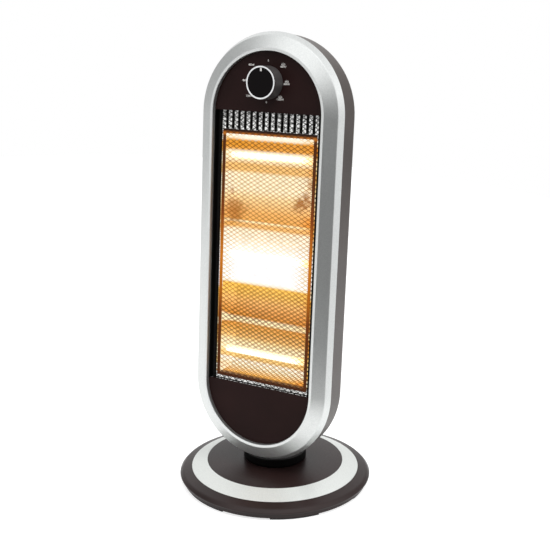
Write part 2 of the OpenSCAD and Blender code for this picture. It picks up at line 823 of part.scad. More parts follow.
// Round end of the bezel with the ledge that its panel seats on: s is 1 for the top and -1 for the bottom
module front_frame_end(s) color([0.8, 0.81, 0.82]) {
    frame_with_bosses(s > 0 ? frame_top_spots : frame_bottom_spots) difference() {
        translate([0, 0, s > 0 ? high_z : low_z]) rotate([-90, 0, 0]) rotate([0, 0, s > 0 ? 180 : 0])
            rotate_extrude(angle = 180) {
                frame_section();
                translate([window_w - frame_ledge_w, panel_back_y])
                    square([frame_ledge_w + frame_wall / 2, frame_back_y - panel_back_y]);
            }
        plate(panel_back_y - over, frame_back_y + over) translate([-window_w, lower_panel_z])
            square([2 * window_w, upper_panel_z - lower_panel_z]);
    }
}

// Straight side of the bezel: s is -1 for the left and 1 for the right
module front_frame_side(s) color([0.8, 0.81, 0.82]) {
    frame_with_bosses([for (q = frame_side_spots) [s * q[0], q[1]]])
        mirror([s < 0 ? 1 : 0, 0, 0]) translate([0, 0, low_z]) linear_extrude(2 * arc_half) frame_section();
}

module frame_screws() color([0.7, 0.7, 0.72]) {
    lean() for (q = frame_screw_spots)
        translate([q[0], seam_y + tube_screw_floor, q[1]]) rotate([-90, 0, 0]) screw(tube_screw_floor + frame_screw_bite);
}

module control_panel() color([0.19, 0.15, 0.15]) {
    lean() difference() {
        union() {
            plate(panel_y, panel_back_y) intersection() {
                long_outline(window_w - fit_gap);
                translate([-window_w, upper_panel_z]) square([2 * window_w, high_z + window_w - upper_panel_z]);
            }
            plate(panel_back_y - 0.1, mesh_back_y - mesh_t - fit_gap)
                translate([-panel_rib_w, upper_panel_z]) square([2 * panel_rib_w, panel_rib_t]);
            for (s = side_signs)
                rod(s * flange_screw_w, flange_top - flange_screw_inset, panel_back_y - 0.1, ledge_back_y, boss_r - 1);
        }
        rod(0, knob_z, panel_y - over, panel_back_y + over, bushing_r + fit_gap);
        for (s = side_signs)
            rod(s * flange_screw_w, flange_top - flange_screw_inset, panel_back_y, 0, screw_r + run_fit);
    }
}

module lower_panel() color([0.19, 0.15, 0.15]) {
    lean() difference() {
        union() {
            plate(panel_y, panel_back_y) intersection() {
                long_outline(window_w - fit_gap);
                translate([-window_w, low_z - window_w]) square([2 * window_w, lower_panel_z - low_z + window_w]);
            }
            plate(panel_back_y - 0.1, mesh_back_y - mesh_t - fit_gap)
                translate([-panel_rib_w, lower_panel_z - panel_rib_t]) square([2 * panel_rib_w, panel_rib_t]);
            for (s = side_signs) rod(s * flange_screw_w, flange_bottom + flange_screw_inset,
                panel_back_y - 0.1, ledge_back_y, boss_r - 1);
        }
        for (s = side_signs)
            rod(s * flange_screw_w, flange_bottom + flange_screw_inset, panel_back_y, 0, screw_r + run_fit);
    }
}

// ---- Body: window ----

// Flat frame behind the window's edge that the mesh lies on
module window_liner() color([0.04, 0.04, 0.04]) {
    w = window_w - fit_gap;
    z0 = mesh_bottom - liner_bar;
    z1 = mesh_top + liner_bar;
    lean() plate(mesh_back_y, ledge_back_y) difference() {
        union() {
            translate([-ledge_outer, z0]) square([2 * ledge_outer, z1 - z0]);
            translate([-w, lower_panel_z + fit_gap]) square([2 * w, upper_panel_z - lower_panel_z - 2 * fit_gap]);
        }
        translate([-ledge_w, mesh_bottom]) square([2 * ledge_w, mesh_top - mesh_bottom]);
    }
}

// Black strips that line the two sides of the window
module liner_walls() color([0.04, 0.04, 0.04]) {
    lean() for (s = side_signs) plate(panel_y, mesh_back_y)
        translate([s * (window_w - fit_gap - liner_wall / 2) - liner_wall / 2, lower_panel_z + fit_gap])
            square([liner_wall, upper_panel_z - lower_panel_z - 2 * fit_gap]);
}

module guard_mesh() color([0.35, 0.3, 0.26]) {
    cell_w = 2 * (mesh_w - mesh_border) / mesh_cols;
    cell_h = (mesh_top - mesh_bottom - 2 * mesh_border) / mesh_rows;
    k = strand_w / 2;
    lean() plate(mesh_back_y - mesh_t, mesh_back_y) difference() {
        translate([-mesh_w, mesh_bottom]) square([2 * mesh_w, mesh_top - mesh_bottom]);
        for (i = [0:mesh_cols - 1], j = [0:mesh_rows - 1])
            translate([-mesh_w + mesh_border + (i + 0.5) * cell_w, mesh_bottom + mesh_border + (j + 0.5) * cell_h])
                polygon([[-cell_w / 2 + k, 0], [0, -cell_h / 2 + k], [cell_w / 2 - k, 0], [0, cell_h / 2 - k]]);
    }
}

module lamp_surround() color([0.3, 0.16, 0.06]) {
    lean() plate(mesh_back_y + fit_gap, ledge_back_y) difference() {
        translate([-lamp_open_w - surround_w, lamp_open_bottom - surround_w]) square(
            [2 * (lamp_open_w + surround_w), lamp_open_top - lamp_open_bottom + surround_w + surround_top_h]);
        lamp_opening();
    }
}

// The rectangle that the lamps shine through
module lamp_opening() {
    translate([-lamp_open_w, lamp_open_bottom]) square([2 * lamp_open_w, lamp_open_top - lamp_open_bottom]);
}

// ---- Body: lamps and reflector ----

// Fold line of the reflector's trough as depth and height, from its upper edge down
trough_path = [
    [ledge_back_y, lamp_open_top], [-20, lamp_open_top - 3], [trough_y, lamp_open_top - 15],
    [trough_y, upper_ridge_z + 20], [ridge_y, upper_ridge_z], [trough_y, upper_ridge_z - 20],
    [trough_y, lower_ridge_z + 20], [ridge_y, lower_ridge_z], [trough_y, lower_ridge_z - 20],
    [trough_y, lamp_open_bottom + 15], [-20, lamp_open_bottom + 3], [ledge_back_y, lamp_open_bottom]];
trough_radii = [6, 8, 8, 2, 8, 8, 2, 8, 8, 6];

module reflector() color([0.95, 0.75, 0.4]) {
    lean() {
        plate(ledge_back_y, flange_back_y) difference() {
            translate([-flange_w, flange_bottom]) square([2 * flange_w, flange_top - flange_bottom]);
            lamp_opening();
            for (i = [0:louvres - 1])
                translate([(i - (louvres - 1) / 2) * louvre_pitch - louvre_w / 2, louvre_bottom])
                    square([louvre_w, louvre_top - louvre_bottom]);
            for (s = side_signs, z = [flange_top - flange_screw_inset, flange_bottom + flange_screw_inset])
                translate([s * flange_screw_w, z]) circle(screw_r + fit_gap);
        }
        translate([-lamp_open_w, 0, 0]) rotate([90, 0, 90]) linear_extrude(2 * lamp_open_w) polygon(concat(
            rounded_path(trough_path, trough_radii, 0), reversed(rounded_path(trough_path, trough_radii, sheet_t))));
    }
}

module reflector_screws() color([0.7, 0.7, 0.72]) {
    lean() for (s = side_signs, z = [flange_top - flange_screw_inset, flange_bottom + flange_screw_inset])
        translate([s * flange_screw_w, flange_back_y, z]) rotate([-90, 0, 0]) screw(flange_screw_len);
}

// Folded bracket that carries the three lamps on one side: s is -1 for the left and 1 for the right
module lamp_bracket(s) color([0.72, 0.73, 0.74]) {
    inner = lamp_open_w + fit_gap / 2;
    outer = tube_half;
    lean() difference() {
        mirror([s < 0 ? 1 : 0, 0, 0]) translate([0, 0, bracket_bottom]) linear_extrude(bracket_top - bracket_bottom) polygon([
            [inner, flange_back_y], [flange_w, flange_back_y], [flange_w, flange_back_y + bracket_t],
            [inner + bracket_t, flange_back_y + bracket_t], [inner + bracket_t, shield_y - bracket_t],
            [outer - bracket_t, shield_y - bracket_t], [outer - bracket_t, lamp_y - cap_side / 2 - bracket_lip],
            [outer, lamp_y - cap_side / 2 - bracket_lip], [outer, shield_y], [inner, shield_y]]);
        for (z = lamp_zs) {
            translate([s * inner, lamp_y, z]) rotate([0, 90, 0])
                cylinder(r = tube_clear_r, h = 4 * bracket_t, center = true);
            translate([s * outer, lamp_y, z])
                cube([4 * bracket_t, cap_side + fit_gap, cap_side + fit_gap], center = true);
        }
        for (z = shield_screw_zs)
            rod(s * shield_screw_w, z, shield_y - bracket_t - over, shield_y + over, screw_r + run_fit);
    }
}

module heat_shield() color([0.7, 0.71, 0.72]) {
    lean() plate(shield_y, shield_y + shield_t) difference() {
        translate([-tube_half, bracket_bottom]) square([2 * tube_half, bracket_top - bracket_bottom]);
        for (s = side_signs, z = shield_screw_zs) translate([s * shield_screw_w, z]) circle(screw_r + run_fit);
    }
}

module shield_screws() color([0.7, 0.7, 0.72]) {
    lean() for (s = side_signs, z = shield_screw_zs)
        translate([s * shield_screw_w, shield_y + shield_t, z]) rotate([-90, 0, 0]) screw(shield_screw_len);
}

module thermal_cutout() color([0.85, 0.83, 0.78]) {
    lean() {
        rod(0, cutout_z, shield_y + shield_t, shield_y + shield_t + cutout_h, cutout_r);
        translate([-cutout_strap[0] / 2, shield_y + shield_t, cutout_z - cutout_strap[2] / 2]) cube(cutout_strap);
        for (s = side_signs)
            translate([s * cutout_tab_x - cutout_tab[0] / 2, shield_y + shield_t + cutout_h - over,
                cutout_z - cutout_tab[2] / 2]) cube(cutout_tab);
    }
}

module lamp_tube(i) color([1, 0.85, 0.6, 0.6]) {
    lean() translate([0, lamp_y, lamp_zs[i]]) rotate([0, 90, 0]) difference() {
        cylinder(r = tube_r, h = 2 * tube_half, center = true);
        cylinder(r = tube_r - tube_wall, h = 2 * tube_half + over, center = true);
    }
}

module filament(i) color([1, 0.6, 0.2]) {
    lean() translate([0, lamp_y, lamp_zs[i]]) rotate([0, 90, 0]) {
        cylinder(r = filament_r, h = 2 * (tube_half - cold_end), center = true);
        cylinder(r = wire_r, h = 2 * tube_half, center = true);
    }
}

module end_cap(i, s) color([0.94, 0.92, 0.87]) {
    lean() translate([s * cap_w, lamp_y, lamp_zs[i]]) rotate([0, s * 90, 0]) difference() {
        translate([-cap_side / 2, -cap_side / 2, 0]) cube([cap_side, cap_side, cap_len]);
        translate([0, 0, -over]) cylinder(r = tube_r + fit_gap / 2, h = cap_grip + over);
        translate([0, 0, cap_len - cap_pin_hole]) cylinder(r = cap_pin_hole_r, h = cap_pin_hole + over);
    }
}

// ---- Body: control and wiring ----

module rotary_switch() color([0.85, 0.85, 0.83]) {
    lean() difference() {
        union() {
            translate([-switch_side / 2, panel_back_y, knob_z - switch_side / 2])
                cube([switch_side, switch_depth, switch_side]);
            rod(0, knob_z, bushing_end_y, panel_back_y + over, bushing_r);
        }
        rod(0, knob_z, bushing_end_y - over, shaft_end_y, shaft_r + run_fit);
    }
}

module switch_nut() color([0.75, 0.76, 0.78]) {
    lean() difference() {
        translate([0, panel_y, knob_z]) rotate([90, 0, 0]) cylinder(r = nut_r, h = nut_t, $fn = 6);
        rod(0, knob_z, panel_y - nut_t - over, panel_y + over, bushing_r + run_fit);
    }
}

module switch_shaft() color([0.8, 0.8, 0.82]) {
    lean() rod(0, knob_z, knob_y + knob_ring_t + shaft_cover, shaft_end_y - stop_gap, shaft_r);
}

module knob_body() color([0.22, 0.21, 0.21]) {
    front = knob_back_y - knob_y - knob_ring_t;
    lean() translate([0, knob_back_y, knob_z]) rotate([90, 0, 0]) difference() {
        cylinder(r1 = knob_r, r2 = knob_front_r, h = front);
        difference() {
            translate([0, 0, -over]) cylinder(r = knob_front_r - knob_wall, h = front - knob_roof + over);
            translate([0, 0, panel_y - bushing_end_y + over]) cylinder(r = knob_hub_r, h = front);
        }
        translate([0, 0, -over]) cylinder(r = shaft_r + run_fit, h = front - shaft_cover + over);
    }
}

module knob_ring() color([0.9, 0.9, 0.9]) {
    lean() translate([0, knob_y, knob_z]) rotate([-90, 0, 0]) difference() {
        cylinder(r = knob_front_r, h = knob_ring_t);
        translate([0, 0, -over]) cylinder(r = knob_front_r - knob_ring_w, h = knob_ring_t + 2 * over);
    }
}

module knob_face() color([0.03, 0.03, 0.03]) {
    lean() difference() {
        rod(0, knob_z, knob_face_y, knob_y + knob_ring_t, knob_front_r - knob_ring_w);
        plate(knob_face_y - over, knob_face_y + pointer_t) pointer_outline();
    }
}

// Short white line at the knob's ring
module pointer_outline() {
    translate([-pointer_w / 2, knob_z + knob_front_r - knob_ring_w - pointer_inset - pointer_len])
        square([pointer_w, pointer_len]);
}

module knob_pointer() color([0.97, 0.97, 0.97]) {
    lean() plate(knob_face_y - fit_gap, knob_face_y + pointer_t) pointer_outline();
}

module terminal_block() color([0.9, 0.89, 0.85]) {
    lean() difference() {
        translate([-terminal_size[0] / 2, panel_back_y, terminal_z]) cube(terminal_size);
        for (i = [0:terminal_ways - 1])
            rod((i - (terminal_ways - 1) / 2) * terminal_pitch, terminal_z + terminal_size[2] / 2,
                panel_back_y + terminal_size[1] - terminal_hole, panel_back_y + terminal_size[1] + over, terminal_hole_r);
    }
}

// ---- Nodes ----

base_bottom();
foot_pads();
base_cover();
trim_ring();
base_screws();
cord_gland();
tip_switch_housing();
tip_switch_plunger();
tip_switch_spring();
drive_motor();
motor_screws();
crank_shaft();
crank();
thrust_washer();
turntable();
swing_arm();
arm_screws();
turntable_screws();
rear_shell();
carry_grip();
front_frame_end(1);  // front_frame_top
front_frame_side(-1);  // front_frame_left
front_frame_side(1);  // front_frame_right
front_frame_end(-1);  // front_frame_bottom
frame_screws();
control_panel();
lower_panel();
window_liner();
liner_walls();
guard_mesh();
lamp_surround();
reflector();
reflector_screws();
for (k = [0, 1])
    lamp_bracket(side_signs[k]);
heat_shield();
shield_screws();
thermal_cutout();
for (i = [0:2]) {
    lamp_tube(i);
    filament(i);
    for (k = [0, 1])
        end_cap(i, side_signs[k]);
}
rotary_switch();
switch_nut();
switch_shaft();
knob_body();
knob_ring();
knob_face();
knob_pointer();
terminal_block();
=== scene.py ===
# Free-standing halogen heater: the look of each piece, the wire guard, the dial's marks, the stage, the
# light and the camera. Metres, Z up and the front facing -Y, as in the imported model.
import json
import math

import bpy
from mathutils import Matrix, Vector


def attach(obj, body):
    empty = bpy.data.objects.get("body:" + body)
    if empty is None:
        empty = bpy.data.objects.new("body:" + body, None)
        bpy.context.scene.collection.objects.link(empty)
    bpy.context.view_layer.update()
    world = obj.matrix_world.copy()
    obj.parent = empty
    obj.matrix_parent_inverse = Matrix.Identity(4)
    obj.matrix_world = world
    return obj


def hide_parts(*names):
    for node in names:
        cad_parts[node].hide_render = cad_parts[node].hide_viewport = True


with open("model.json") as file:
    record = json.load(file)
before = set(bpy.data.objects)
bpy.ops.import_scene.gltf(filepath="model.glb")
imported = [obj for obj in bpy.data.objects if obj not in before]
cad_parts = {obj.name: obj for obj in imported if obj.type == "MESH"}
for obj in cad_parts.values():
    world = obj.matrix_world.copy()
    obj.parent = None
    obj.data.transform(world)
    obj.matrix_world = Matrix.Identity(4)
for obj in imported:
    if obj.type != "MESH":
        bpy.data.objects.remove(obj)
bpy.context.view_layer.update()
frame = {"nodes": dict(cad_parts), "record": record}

MM = 0.001


# ---- Places on the upright body, in mm ----

# The body is tipped back about a line at this height
LEAN_ANGLE = math.radians(3.9)
LEAN_Z = 50 * MM
LEAN = (Matrix.Translation((0, 0, LEAN_Z)) @ Matrix.Rotation(-LEAN_ANGLE, 4, "X")
        @ Matrix.Translation((0, 0, -LEAN_Z)))
# From mm on the upright body to metres in the frame, and back
TO_FRAME = LEAN @ Matrix.Scale(MM, 4)
UPRIGHT = Matrix.Scale(1 / MM, 4) @ LEAN.inverted()
ACROSS, DEPTH, HEIGHT = range(3)


def upright_box(node):
    """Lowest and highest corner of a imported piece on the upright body."""
    places = [UPRIGHT @ point.co for point in frame["nodes"][node].data.vertices]
    return [[pick(place[axis] for place in places) for axis in range(3)] for pick in (min, max)]


GUARD_LOW, GUARD_HIGH = upright_box("guard_mesh")
GUARD_Y = (GUARD_LOW[DEPTH] + GUARD_HIGH[DEPTH]) / 2
BORDER_LOW, BORDER_HIGH = upright_box("lamp_surround")
PANEL_Y = upright_box("control_panel")[0][DEPTH]
SHEET_Y = upright_box("reflector")[0][DEPTH]
KNOB_LOW, KNOB_HIGH = upright_box("knob_ring")
KNOB_Z = (KNOB_LOW[HEIGHT] + KNOB_HIGH[HEIGHT]) / 2

# The border round the lamp opening: its width beside and below the opening, and above it
BORDER_W = 4.5
BORDER_TOP_W = 6.5
OPEN_HALF_W = BORDER_HIGH[ACROSS] - BORDER_W
OPEN_LOW = BORDER_LOW[HEIGHT] + BORDER_W
OPEN_HIGH = BORDER_HIGH[HEIGHT] - BORDER_TOP_W

# The reflector's trough: its floor, the ridges folded forward in it and half their width
TROUGH_Y = -9
RIDGE_Y = -30
RIDGE_ZS = (249, 397)
RIDGE_HALF_W = 20

# The louvre slots above the lamp opening, and the painted shade along the edges of each
LOUVRES = 15
LOUVRE_PITCH = 9.95
LOUVRE_HALF_W = 1.975
LOUVRE_LOW = 529.5
LOUVRE_EDGE_SHADE = 0.3

# The painted shadow line on the sheet under the border: its height and half its width
SHADOW_LINE_Z = 158.6
SHADOW_LINE_HALF_H = 0.9

# Spacing of the guard's wires
CELL_W = 10.4
CELL_H = 6.2


# ---- Shader helpers ----

# Settings that many nodes share. A colour mix has its factor at input 0, its colours at inputs 6 and 7, and
# its result at output 2. A mix of numbers has them at inputs 2 and 3, and its result at output 0.
COLOURS = {"data_type": "RGBA"}
TINT = {"data_type": "RGBA", "blend_type": "MULTIPLY"}
SOFT = {"interpolation_type": "SMOOTHSTEP"}


def linear(hex_colour):
    """An sRGB hex value as linear RGBA."""
    parts = [int(hex_colour[i:i + 2], 16) / 255 for i in (1, 3, 5)]
    return [c / 12.92 if c <= 0.04045 else ((c + 0.055) / 1.055) ** 2.4 for c in parts] + [1]


def per_metre(size_mm):
    """Pattern scale for grains of a real size."""
    return 1000 / size_mm


def add(tree, kind, props, inputs):
    """Adds a node, sets its properties, and fills its inputs with values or links. A node given as an input
    stands for its first output."""
    made = tree.nodes.new("ShaderNode" + kind)
    for name, value in props.items():
        if name != "stops":
            setattr(made, name, value)
            continue
        marks = made.color_ramp.elements
        while len(marks) < len(value):
            marks.new(1)
        for mark, (place, colour) in zip(marks, value):
            mark.position = place
            mark.color = linear(colour)
    for name, value in inputs.items():
        if isinstance(value, bpy.types.Node):
            value = value.outputs[0]
        if isinstance(value, bpy.types.NodeSocket):
            tree.links.new(value, made.inputs[name])
        else:
            made.inputs[name].default_value = value
    return made


def new_finish(name, inputs):
    """A material with one principled shader: its tree, shader and object coordinates."""
    made = bpy.data.materials.new(name)
    made.use_nodes = True
    tree = made.node_tree
    tree.nodes.clear()
    shader = add(tree, "BsdfPrincipled", {}, inputs)
    add(tree, "OutputMaterial", {}, {"Surface": shader.outputs["BSDF"]})
    return made, tree, shader, add(tree, "TexCoord", {}, {}).outputs["Object"]


def cover(tree, shader, tone, height, relief_mm, shine=None):
    """Gives a shader its colour, its relief and, where that varies, its roughness."""
    relief = add(tree, "Bump", {}, {"Height": height, "Distance": relief_mm * MM})
    tree.links.new(relief.outputs["Normal"], shader.inputs["Normal"])
    if tone:
        tree.links.new(tone, shader.inputs["Base Color"])
    if shine:
        tree.links.new(shine.outputs["Result"], shader.inputs["Roughness"])


def upright(tree, at, axis):
    """How far across, deep or high a place lies on the upright body, in mm."""
    row = UPRIGHT[axis]
    along = add(tree, "VectorMath", {"operation": "DOT_PRODUCT"}, {0: at, 1: row.xyz}).outputs["Value"]
    return add(tree, "Math", {"operation": "ADD"}, {0: along, 1: row.w})


def light_at(tree, height, bands, more=None):
    """The colour that a table of heights and colours gives, and above its end a second table. A colour ramp
    holds 32 stops, so a longer table comes in two."""
    low, high = bands[0][0], bands[-1][0]
    place = add(tree, "MapRange", {}, {"Value": height, "From Min": low, "From Max": high})
    stops = [((z - low) / (high - low), colour) for z, colour in bands]
    light = add(tree, "ValToRGB", {"stops": stops}, {"Fac": place}).outputs["Color"]
    if not more:
        return light
    over = add(tree, "Math", {"operation": "GREATER_THAN"}, {0: height, 1: high})
    return add(tree, "Mix", COLOURS, {0: over, 6: light, 7: light_at(tree, height, more)}).outputs[2]


# ---- Plain finishes ----

# The near black of the casing's round foot, partly black plastic and partly painted shade under the body: its
# radius and its top in mm, and its colour
SHADED_SHELL_FOOT = (49, 76, "#030202")


def moulded_plastic(name, dark, light, roughness, grain_mm, relief_mm, ior=1.53, gloss=0.5, foot=None):
    """Injection-moulded plastic: a spark-eroded grain that breaks up the shine, and a faint drift of tone."""
    made, tree, shader, at = new_finish(name, {"IOR": ior, "Specular IOR Level": gloss})
    drift = add(tree, "TexNoise", {}, {"Vector": at, "Scale": per_metre(70), "Detail": 2})
    tone = add(tree, "ValToRGB", {"stops": [(0.35, dark), (0.65, light)]}, {"Fac": drift}).outputs["Color"]
    # A foot given here is painted near black: partly black plastic, partly painted shade under the body
    if foot:
        radius, top, colour = foot
        flat = add(tree, "VectorMath", {"operation": "MULTIPLY"}, {0: at, 1: (1, 1, 0)})
        out = add(tree, "VectorMath", {"operation": "LENGTH"}, {0: flat}).outputs["Value"]
        near = add(tree, "Math", {"operation": "LESS_THAN"}, {0: out, 1: radius * MM})
        z = add(tree, "SeparateXYZ", {}, {"Vector": at}).outputs["Z"]
        low = add(tree, "Math", {"operation": "LESS_THAN"}, {0: z, 1: top * MM})
        both = add(tree, "Math", {"operation": "MULTIPLY"}, {0: near, 1: low})
        tone = add(tree, "Mix", COLOURS, {0: both, 6: tone, 7: linear(colour)}).outputs[2]
    # The real grain is about 0.1 mm wide; it is drawn 0.8 to 1.6 mm wide so that it shows
    grain = add(tree, "TexNoise", {}, {
        "Vector": at, "Scale": per_metre(grain_mm), "Detail": 3, "Roughness": 0.6}).outputs["Fac"]
    shine = add(tree, "MapRange", {}, {"Value": grain, "From Min": 0.3, "From Max": 0.7,
                                       "To Min": roughness - 0.05, "To Max": roughness + 0.07})
    cover(tree, shader, tone, grain, relief_mm, shine)
    return made


def flecked(name, dark, light, roughness, spread, fleck_mm, relief_mm, inputs):
    """A metallic face of small flecks, each with its own tone, shine and height."""
    made, tree, shader, at = new_finish(name, inputs)
    flecks = add(tree, "TexVoronoi", {}, {"Vector": at, "Scale": per_metre(fleck_mm)}).outputs["Color"]
    grey = add(tree, "SeparateColor", {}, {"Color": flecks}).outputs
    tone = add(tree, "ValToRGB", {"stops": [(0, dark), (1, light)]}, {"Fac": grey["Red"]}).outputs["Color"]
    shine = add(tree, "MapRange", {}, {
        "Value": grey["Green"], "To Min": roughness - spread, "To Max": roughness + spread})
    cover(tree, shader, tone, grey["Blue"], relief_mm, shine)
    return made


def silver_paint(name, metallic, roughness, dark, light):
    """Silver paint on ABS: fine aluminium flakes under a satin lacquer."""
    # The flakes are 0.05 mm across; they are drawn 0.8 mm wide so that they show
    return flecked(name, dark, light, roughness, 0.04, 0.8, 0.0025, {
        "Metallic": metallic, "IOR": 1.5, "Coat Weight": 0.1, "Coat Roughness": 0.2})


def plated_metal(name, dark, light, roughness, spangle_mm, relief_mm):
    """Plated or bare metal with a faint spangle."""
    return flecked(name, dark, light, roughness, 0.06, spangle_mm, relief_mm, {"Metallic": 1})


def ceramic(name):
    """Unglazed steatite: off-white, with fine pores."""
    made, tree, shader, at = new_finish(name, {"IOR": 1.6, "Roughness": 0.6})
    pores = add(tree, "TexNoise", {}, {"Vector": at, "Scale": per_metre(0.8), "Detail": 4}).outputs["Fac"]
    tone = add(tree, "ValToRGB", {"stops": [(0.3, "#D9D2C2"), (0.6, "#EDE8DB")]}, {"Fac": pores})
    cover(tree, shader, tone.outputs["Color"], pores, 0.05)
    return made


def knob_gloss(name):
    """Black acrylic disc: glossy, with a faint haze in its shine."""
    made, tree, shader, at = new_finish(name, {
        "IOR": 1.49, "Base Color": linear("#0B0708"), "Specular IOR Level": 0.06})
    middle = TO_FRAME @ Vector((0, KNOB_LOW[DEPTH], KNOB_Z))
    moved = add(tree, "VectorMath", {"operation": "SUBTRACT"}, {0: at, 1: middle})
    haze = add(tree, "TexNoise", {}, {"Vector": moved, "Scale": per_metre(14), "Detail": 2}).outputs["Fac"]
    shine = add(tree, "MapRange", {}, {
        "Value": haze, "From Min": 0.35, "From Max": 0.65, "To Min": 0.1, "To Max": 0.24})
    cover(tree, shader, None, haze, 0.12, shine)
    return made


# ---- The lamps, and finishes with their light painted on ----

# Light on the bright sheet behind the lamps, as height on the body and colour, from the bottom up
SHEET_LOW = [
    (168, "#3E1C02"), (168.6, "#4E2604"), (169, "#FFB850"), (171.5, "#FFF4D0"), (179, "#FFFBEA"),
    (182, "#FFD68A"), (190, "#FFD68A"), (194, "#FFF4CC"), (206, "#FFF0C4"), (211, "#FFE2A4"),
    (216, "#FFC674"), (228, "#ECAC54"), (239.5, "#DA923E"), (242, "#FFEEC0"), (250, "#FFEEC0"),
    (253, "#DA9036"), (262, "#EEA856"), (272, "#FFC474"), (284, "#FFCC66"), (296, "#FFCA58"),
    (298.5, "#FFF2D4"), (302, "#FFFFFF")]
SHEET_HIGH = [
    (302, "#FFFFFF"), (350, "#FFFFFF"), (366, "#FFF8E4"), (380, "#FFF2D2"), (385, "#F8BC68"),
    (392, "#F6B864"), (393.6, "#FFE6B0"), (395.6, "#FFE6B0"), (397.5, "#EEAC58"), (408, "#F8B868"),
    (428, "#FFE0A6"), (440, "#FFF2D0"), (462, "#FFF2D0"), (467, "#F8C478"), (476, "#F8C67A"),
    (482, "#FFEEC6"), (494, "#FFF2D2"), (498, "#EEAA4E"), (502, "#E4982E"), (511, "#E69C34"),
    (514.5, "#FFF4DC"), (520, "#FFF8E8"), (522.5, "#C87820")]
# Light on the wires in front of it
WIRES_LOW = [
    (150, "#000000"), (162, "#000000"), (165, "#2A1206"), (170, "#3A1A06"), (172.5, "#B8761C"),
    (182, "#BC8020"), (186, "#CE9E50"), (192, "#CE9E50"), (196, "#B87820"), (201, "#D6A648"),
    (204, "#FFF6E0"), (212, "#FFF2D0"), (217, "#AC781E"), (227, "#A0661A"), (231, "#502802"),
    (241, "#502802"), (245, "#8E5A18"), (252, "#8E5A18"), (256, "#643200"), (267, "#6E3A04"),
    (280, "#96560A"), (297, "#B06A10"), (307, "#C88A34"), (311, "#FFF6E4"), (316, "#FFFFFF")]
WIRES_HIGH = [
    (316, "#FFFFFF"), (350, "#FFFFFF"), (361, "#F8E4B4"), (374, "#E6C078"), (388, "#B87A28"),
    (394, "#9C601C"), (408, "#9C601C"), (436, "#B47A28"), (448, "#C49434"), (468, "#C08C34"),
    (476, "#965E18"), (485, "#AE7024"), (489, "#F0D8A8"), (493, "#FFF8EA"), (499, "#FFF8EA"),
    (502, "#6E3A06"), (513, "#743E08"), (516, "#FFF4DC"), (521, "#FFF4DC"), (523, "#4A240A"),
    (528, "#000000")]
# Light in the lamps' tubes, with the sheet's amber painted into their sides
LAMP_LIGHT = [
    (194, "#FFFFFF"), (201, "#FFFFFF"), (204, "#FFE6B4"), (300, "#FFFFFF"), (400, "#FFFFFF"),
    (484, "#F0BC70"), (487, "#FFE8B8"), (488.5, "#FFFFFF"), (493.5, "#FFFFFF"), (495.5, "#FFE9BC")]
# Light on the browned border of the lamp opening
BORDER_LIGHT = [
    (163, "#401C02"), (168, "#4A2202"), (200, "#4E2402"), (225, "#522602"), (262, "#6A3204"),
    (290, "#A85C0A"), (345, "#C87410"), (384, "#A85A0E"), (410, "#7C3A08"), (450, "#562802"),
    (500, "#462002"), (519, "#4A2206"), (522, "#B86E22"), (524.5, "#A05C1A"), (526, "#2C1206"),
    (528, "#140804")]
# The wires are lit this far past the border's foot and this far short of its head, and turn brown this far
# before its sides
LIT_PAST_FOOT = 0.5
LIT_SHORT_OF_HEAD = 1
BROWN_BEFORE_SIDE = 1
# Between these places across, the light grows browner: at the right end of the sheet and of the lamps, and
# towards both sides of the wires
SHEET_END = (34, 62)
LAMP_END = (42, 66)
WIRES_END = (40, 70)

# Brown patches in the sheet's painted glow: place on the upright body, reach in mm and depth of tone
BROWN_PATCHES = (
    ((31, -9, 427), 15, 0.85), ((43, -9, 431), 11, 0.6), ((48, -9, 453), 13, 0.5),
    ((-71, -27, 412), 26, 0.65), ((-68, -9, 402), 24, 0.4), ((-71, -30, 436), 8, 0.5))

# The walls beside the lamps carry a painted reflection of the trough, at a slant. A place in front of the
# trough shows its light from this much lower for each mm that it lies in front, less for each mm up, and from
# no lower than the last.
WALL_SLANT = 0.489
WALL_SLANT_LOSS = 0.00078
WALL_LOW = 171

# The guard's painted reflection in the sheet: its size against the guard, how far it moves across and up for
# each mm that the sheet comes forward, where its two sets of wires start, the core and edge of a wire as
# shares of the spacing, and the heights between which it fades out
IMAGE_SIZE = 1.035
IMAGE_SHIFT = (0.57, 0.3)
IMAGE_STARTS = {"ADD": 0.77, "SUBTRACT": 0.39}
IMAGE_WIRE = (0.03, 0.13)
IMAGE_FADE = (290, 298)

# The louvred strip is given a little painted light, as emission: its lower and upper end, and the light there
LOUVRE_LIGHT_ZS = (530, 560)
LOUVRE_LIGHT = (0.55, 0.1)


def mirrored_height(tree, at, height):
    """The height whose light shows in a wall beside the lamps as a painted reflection: the trough's bands run
    on in it at a slant.
    """
    slant = add(tree, "Math", {"operation": "MULTIPLY_ADD"}, {0: height, 1: -WALL_SLANT_LOSS, 2: WALL_SLANT})
    ahead = add(tree, "Math", {"operation": "SUBTRACT"}, {0: upright(tree, at, DEPTH), 1: TROUGH_Y})
    for ridge in RIDGE_ZS:
        off = add(tree, "Math", {"operation": "SUBTRACT"}, {0: height, 1: ridge})
        off = add(tree, "Math", {"operation": "ABSOLUTE"}, {0: off})
        rise = add(tree, "MapRange", {}, {
            "Value": off, "From Max": RIDGE_HALF_W, "To Min": TROUGH_Y - RIDGE_Y, "To Max": 0})
        ahead = add(tree, "Math", {"operation": "ADD"}, {0: ahead, 1: rise})
    band = add(tree, "Math", {"operation": "MULTIPLY_ADD"}, {0: slant, 1: ahead, 2: height})
    return add(tree, "Math", {"operation": "MAXIMUM"}, {0: band, 1: WALL_LOW})


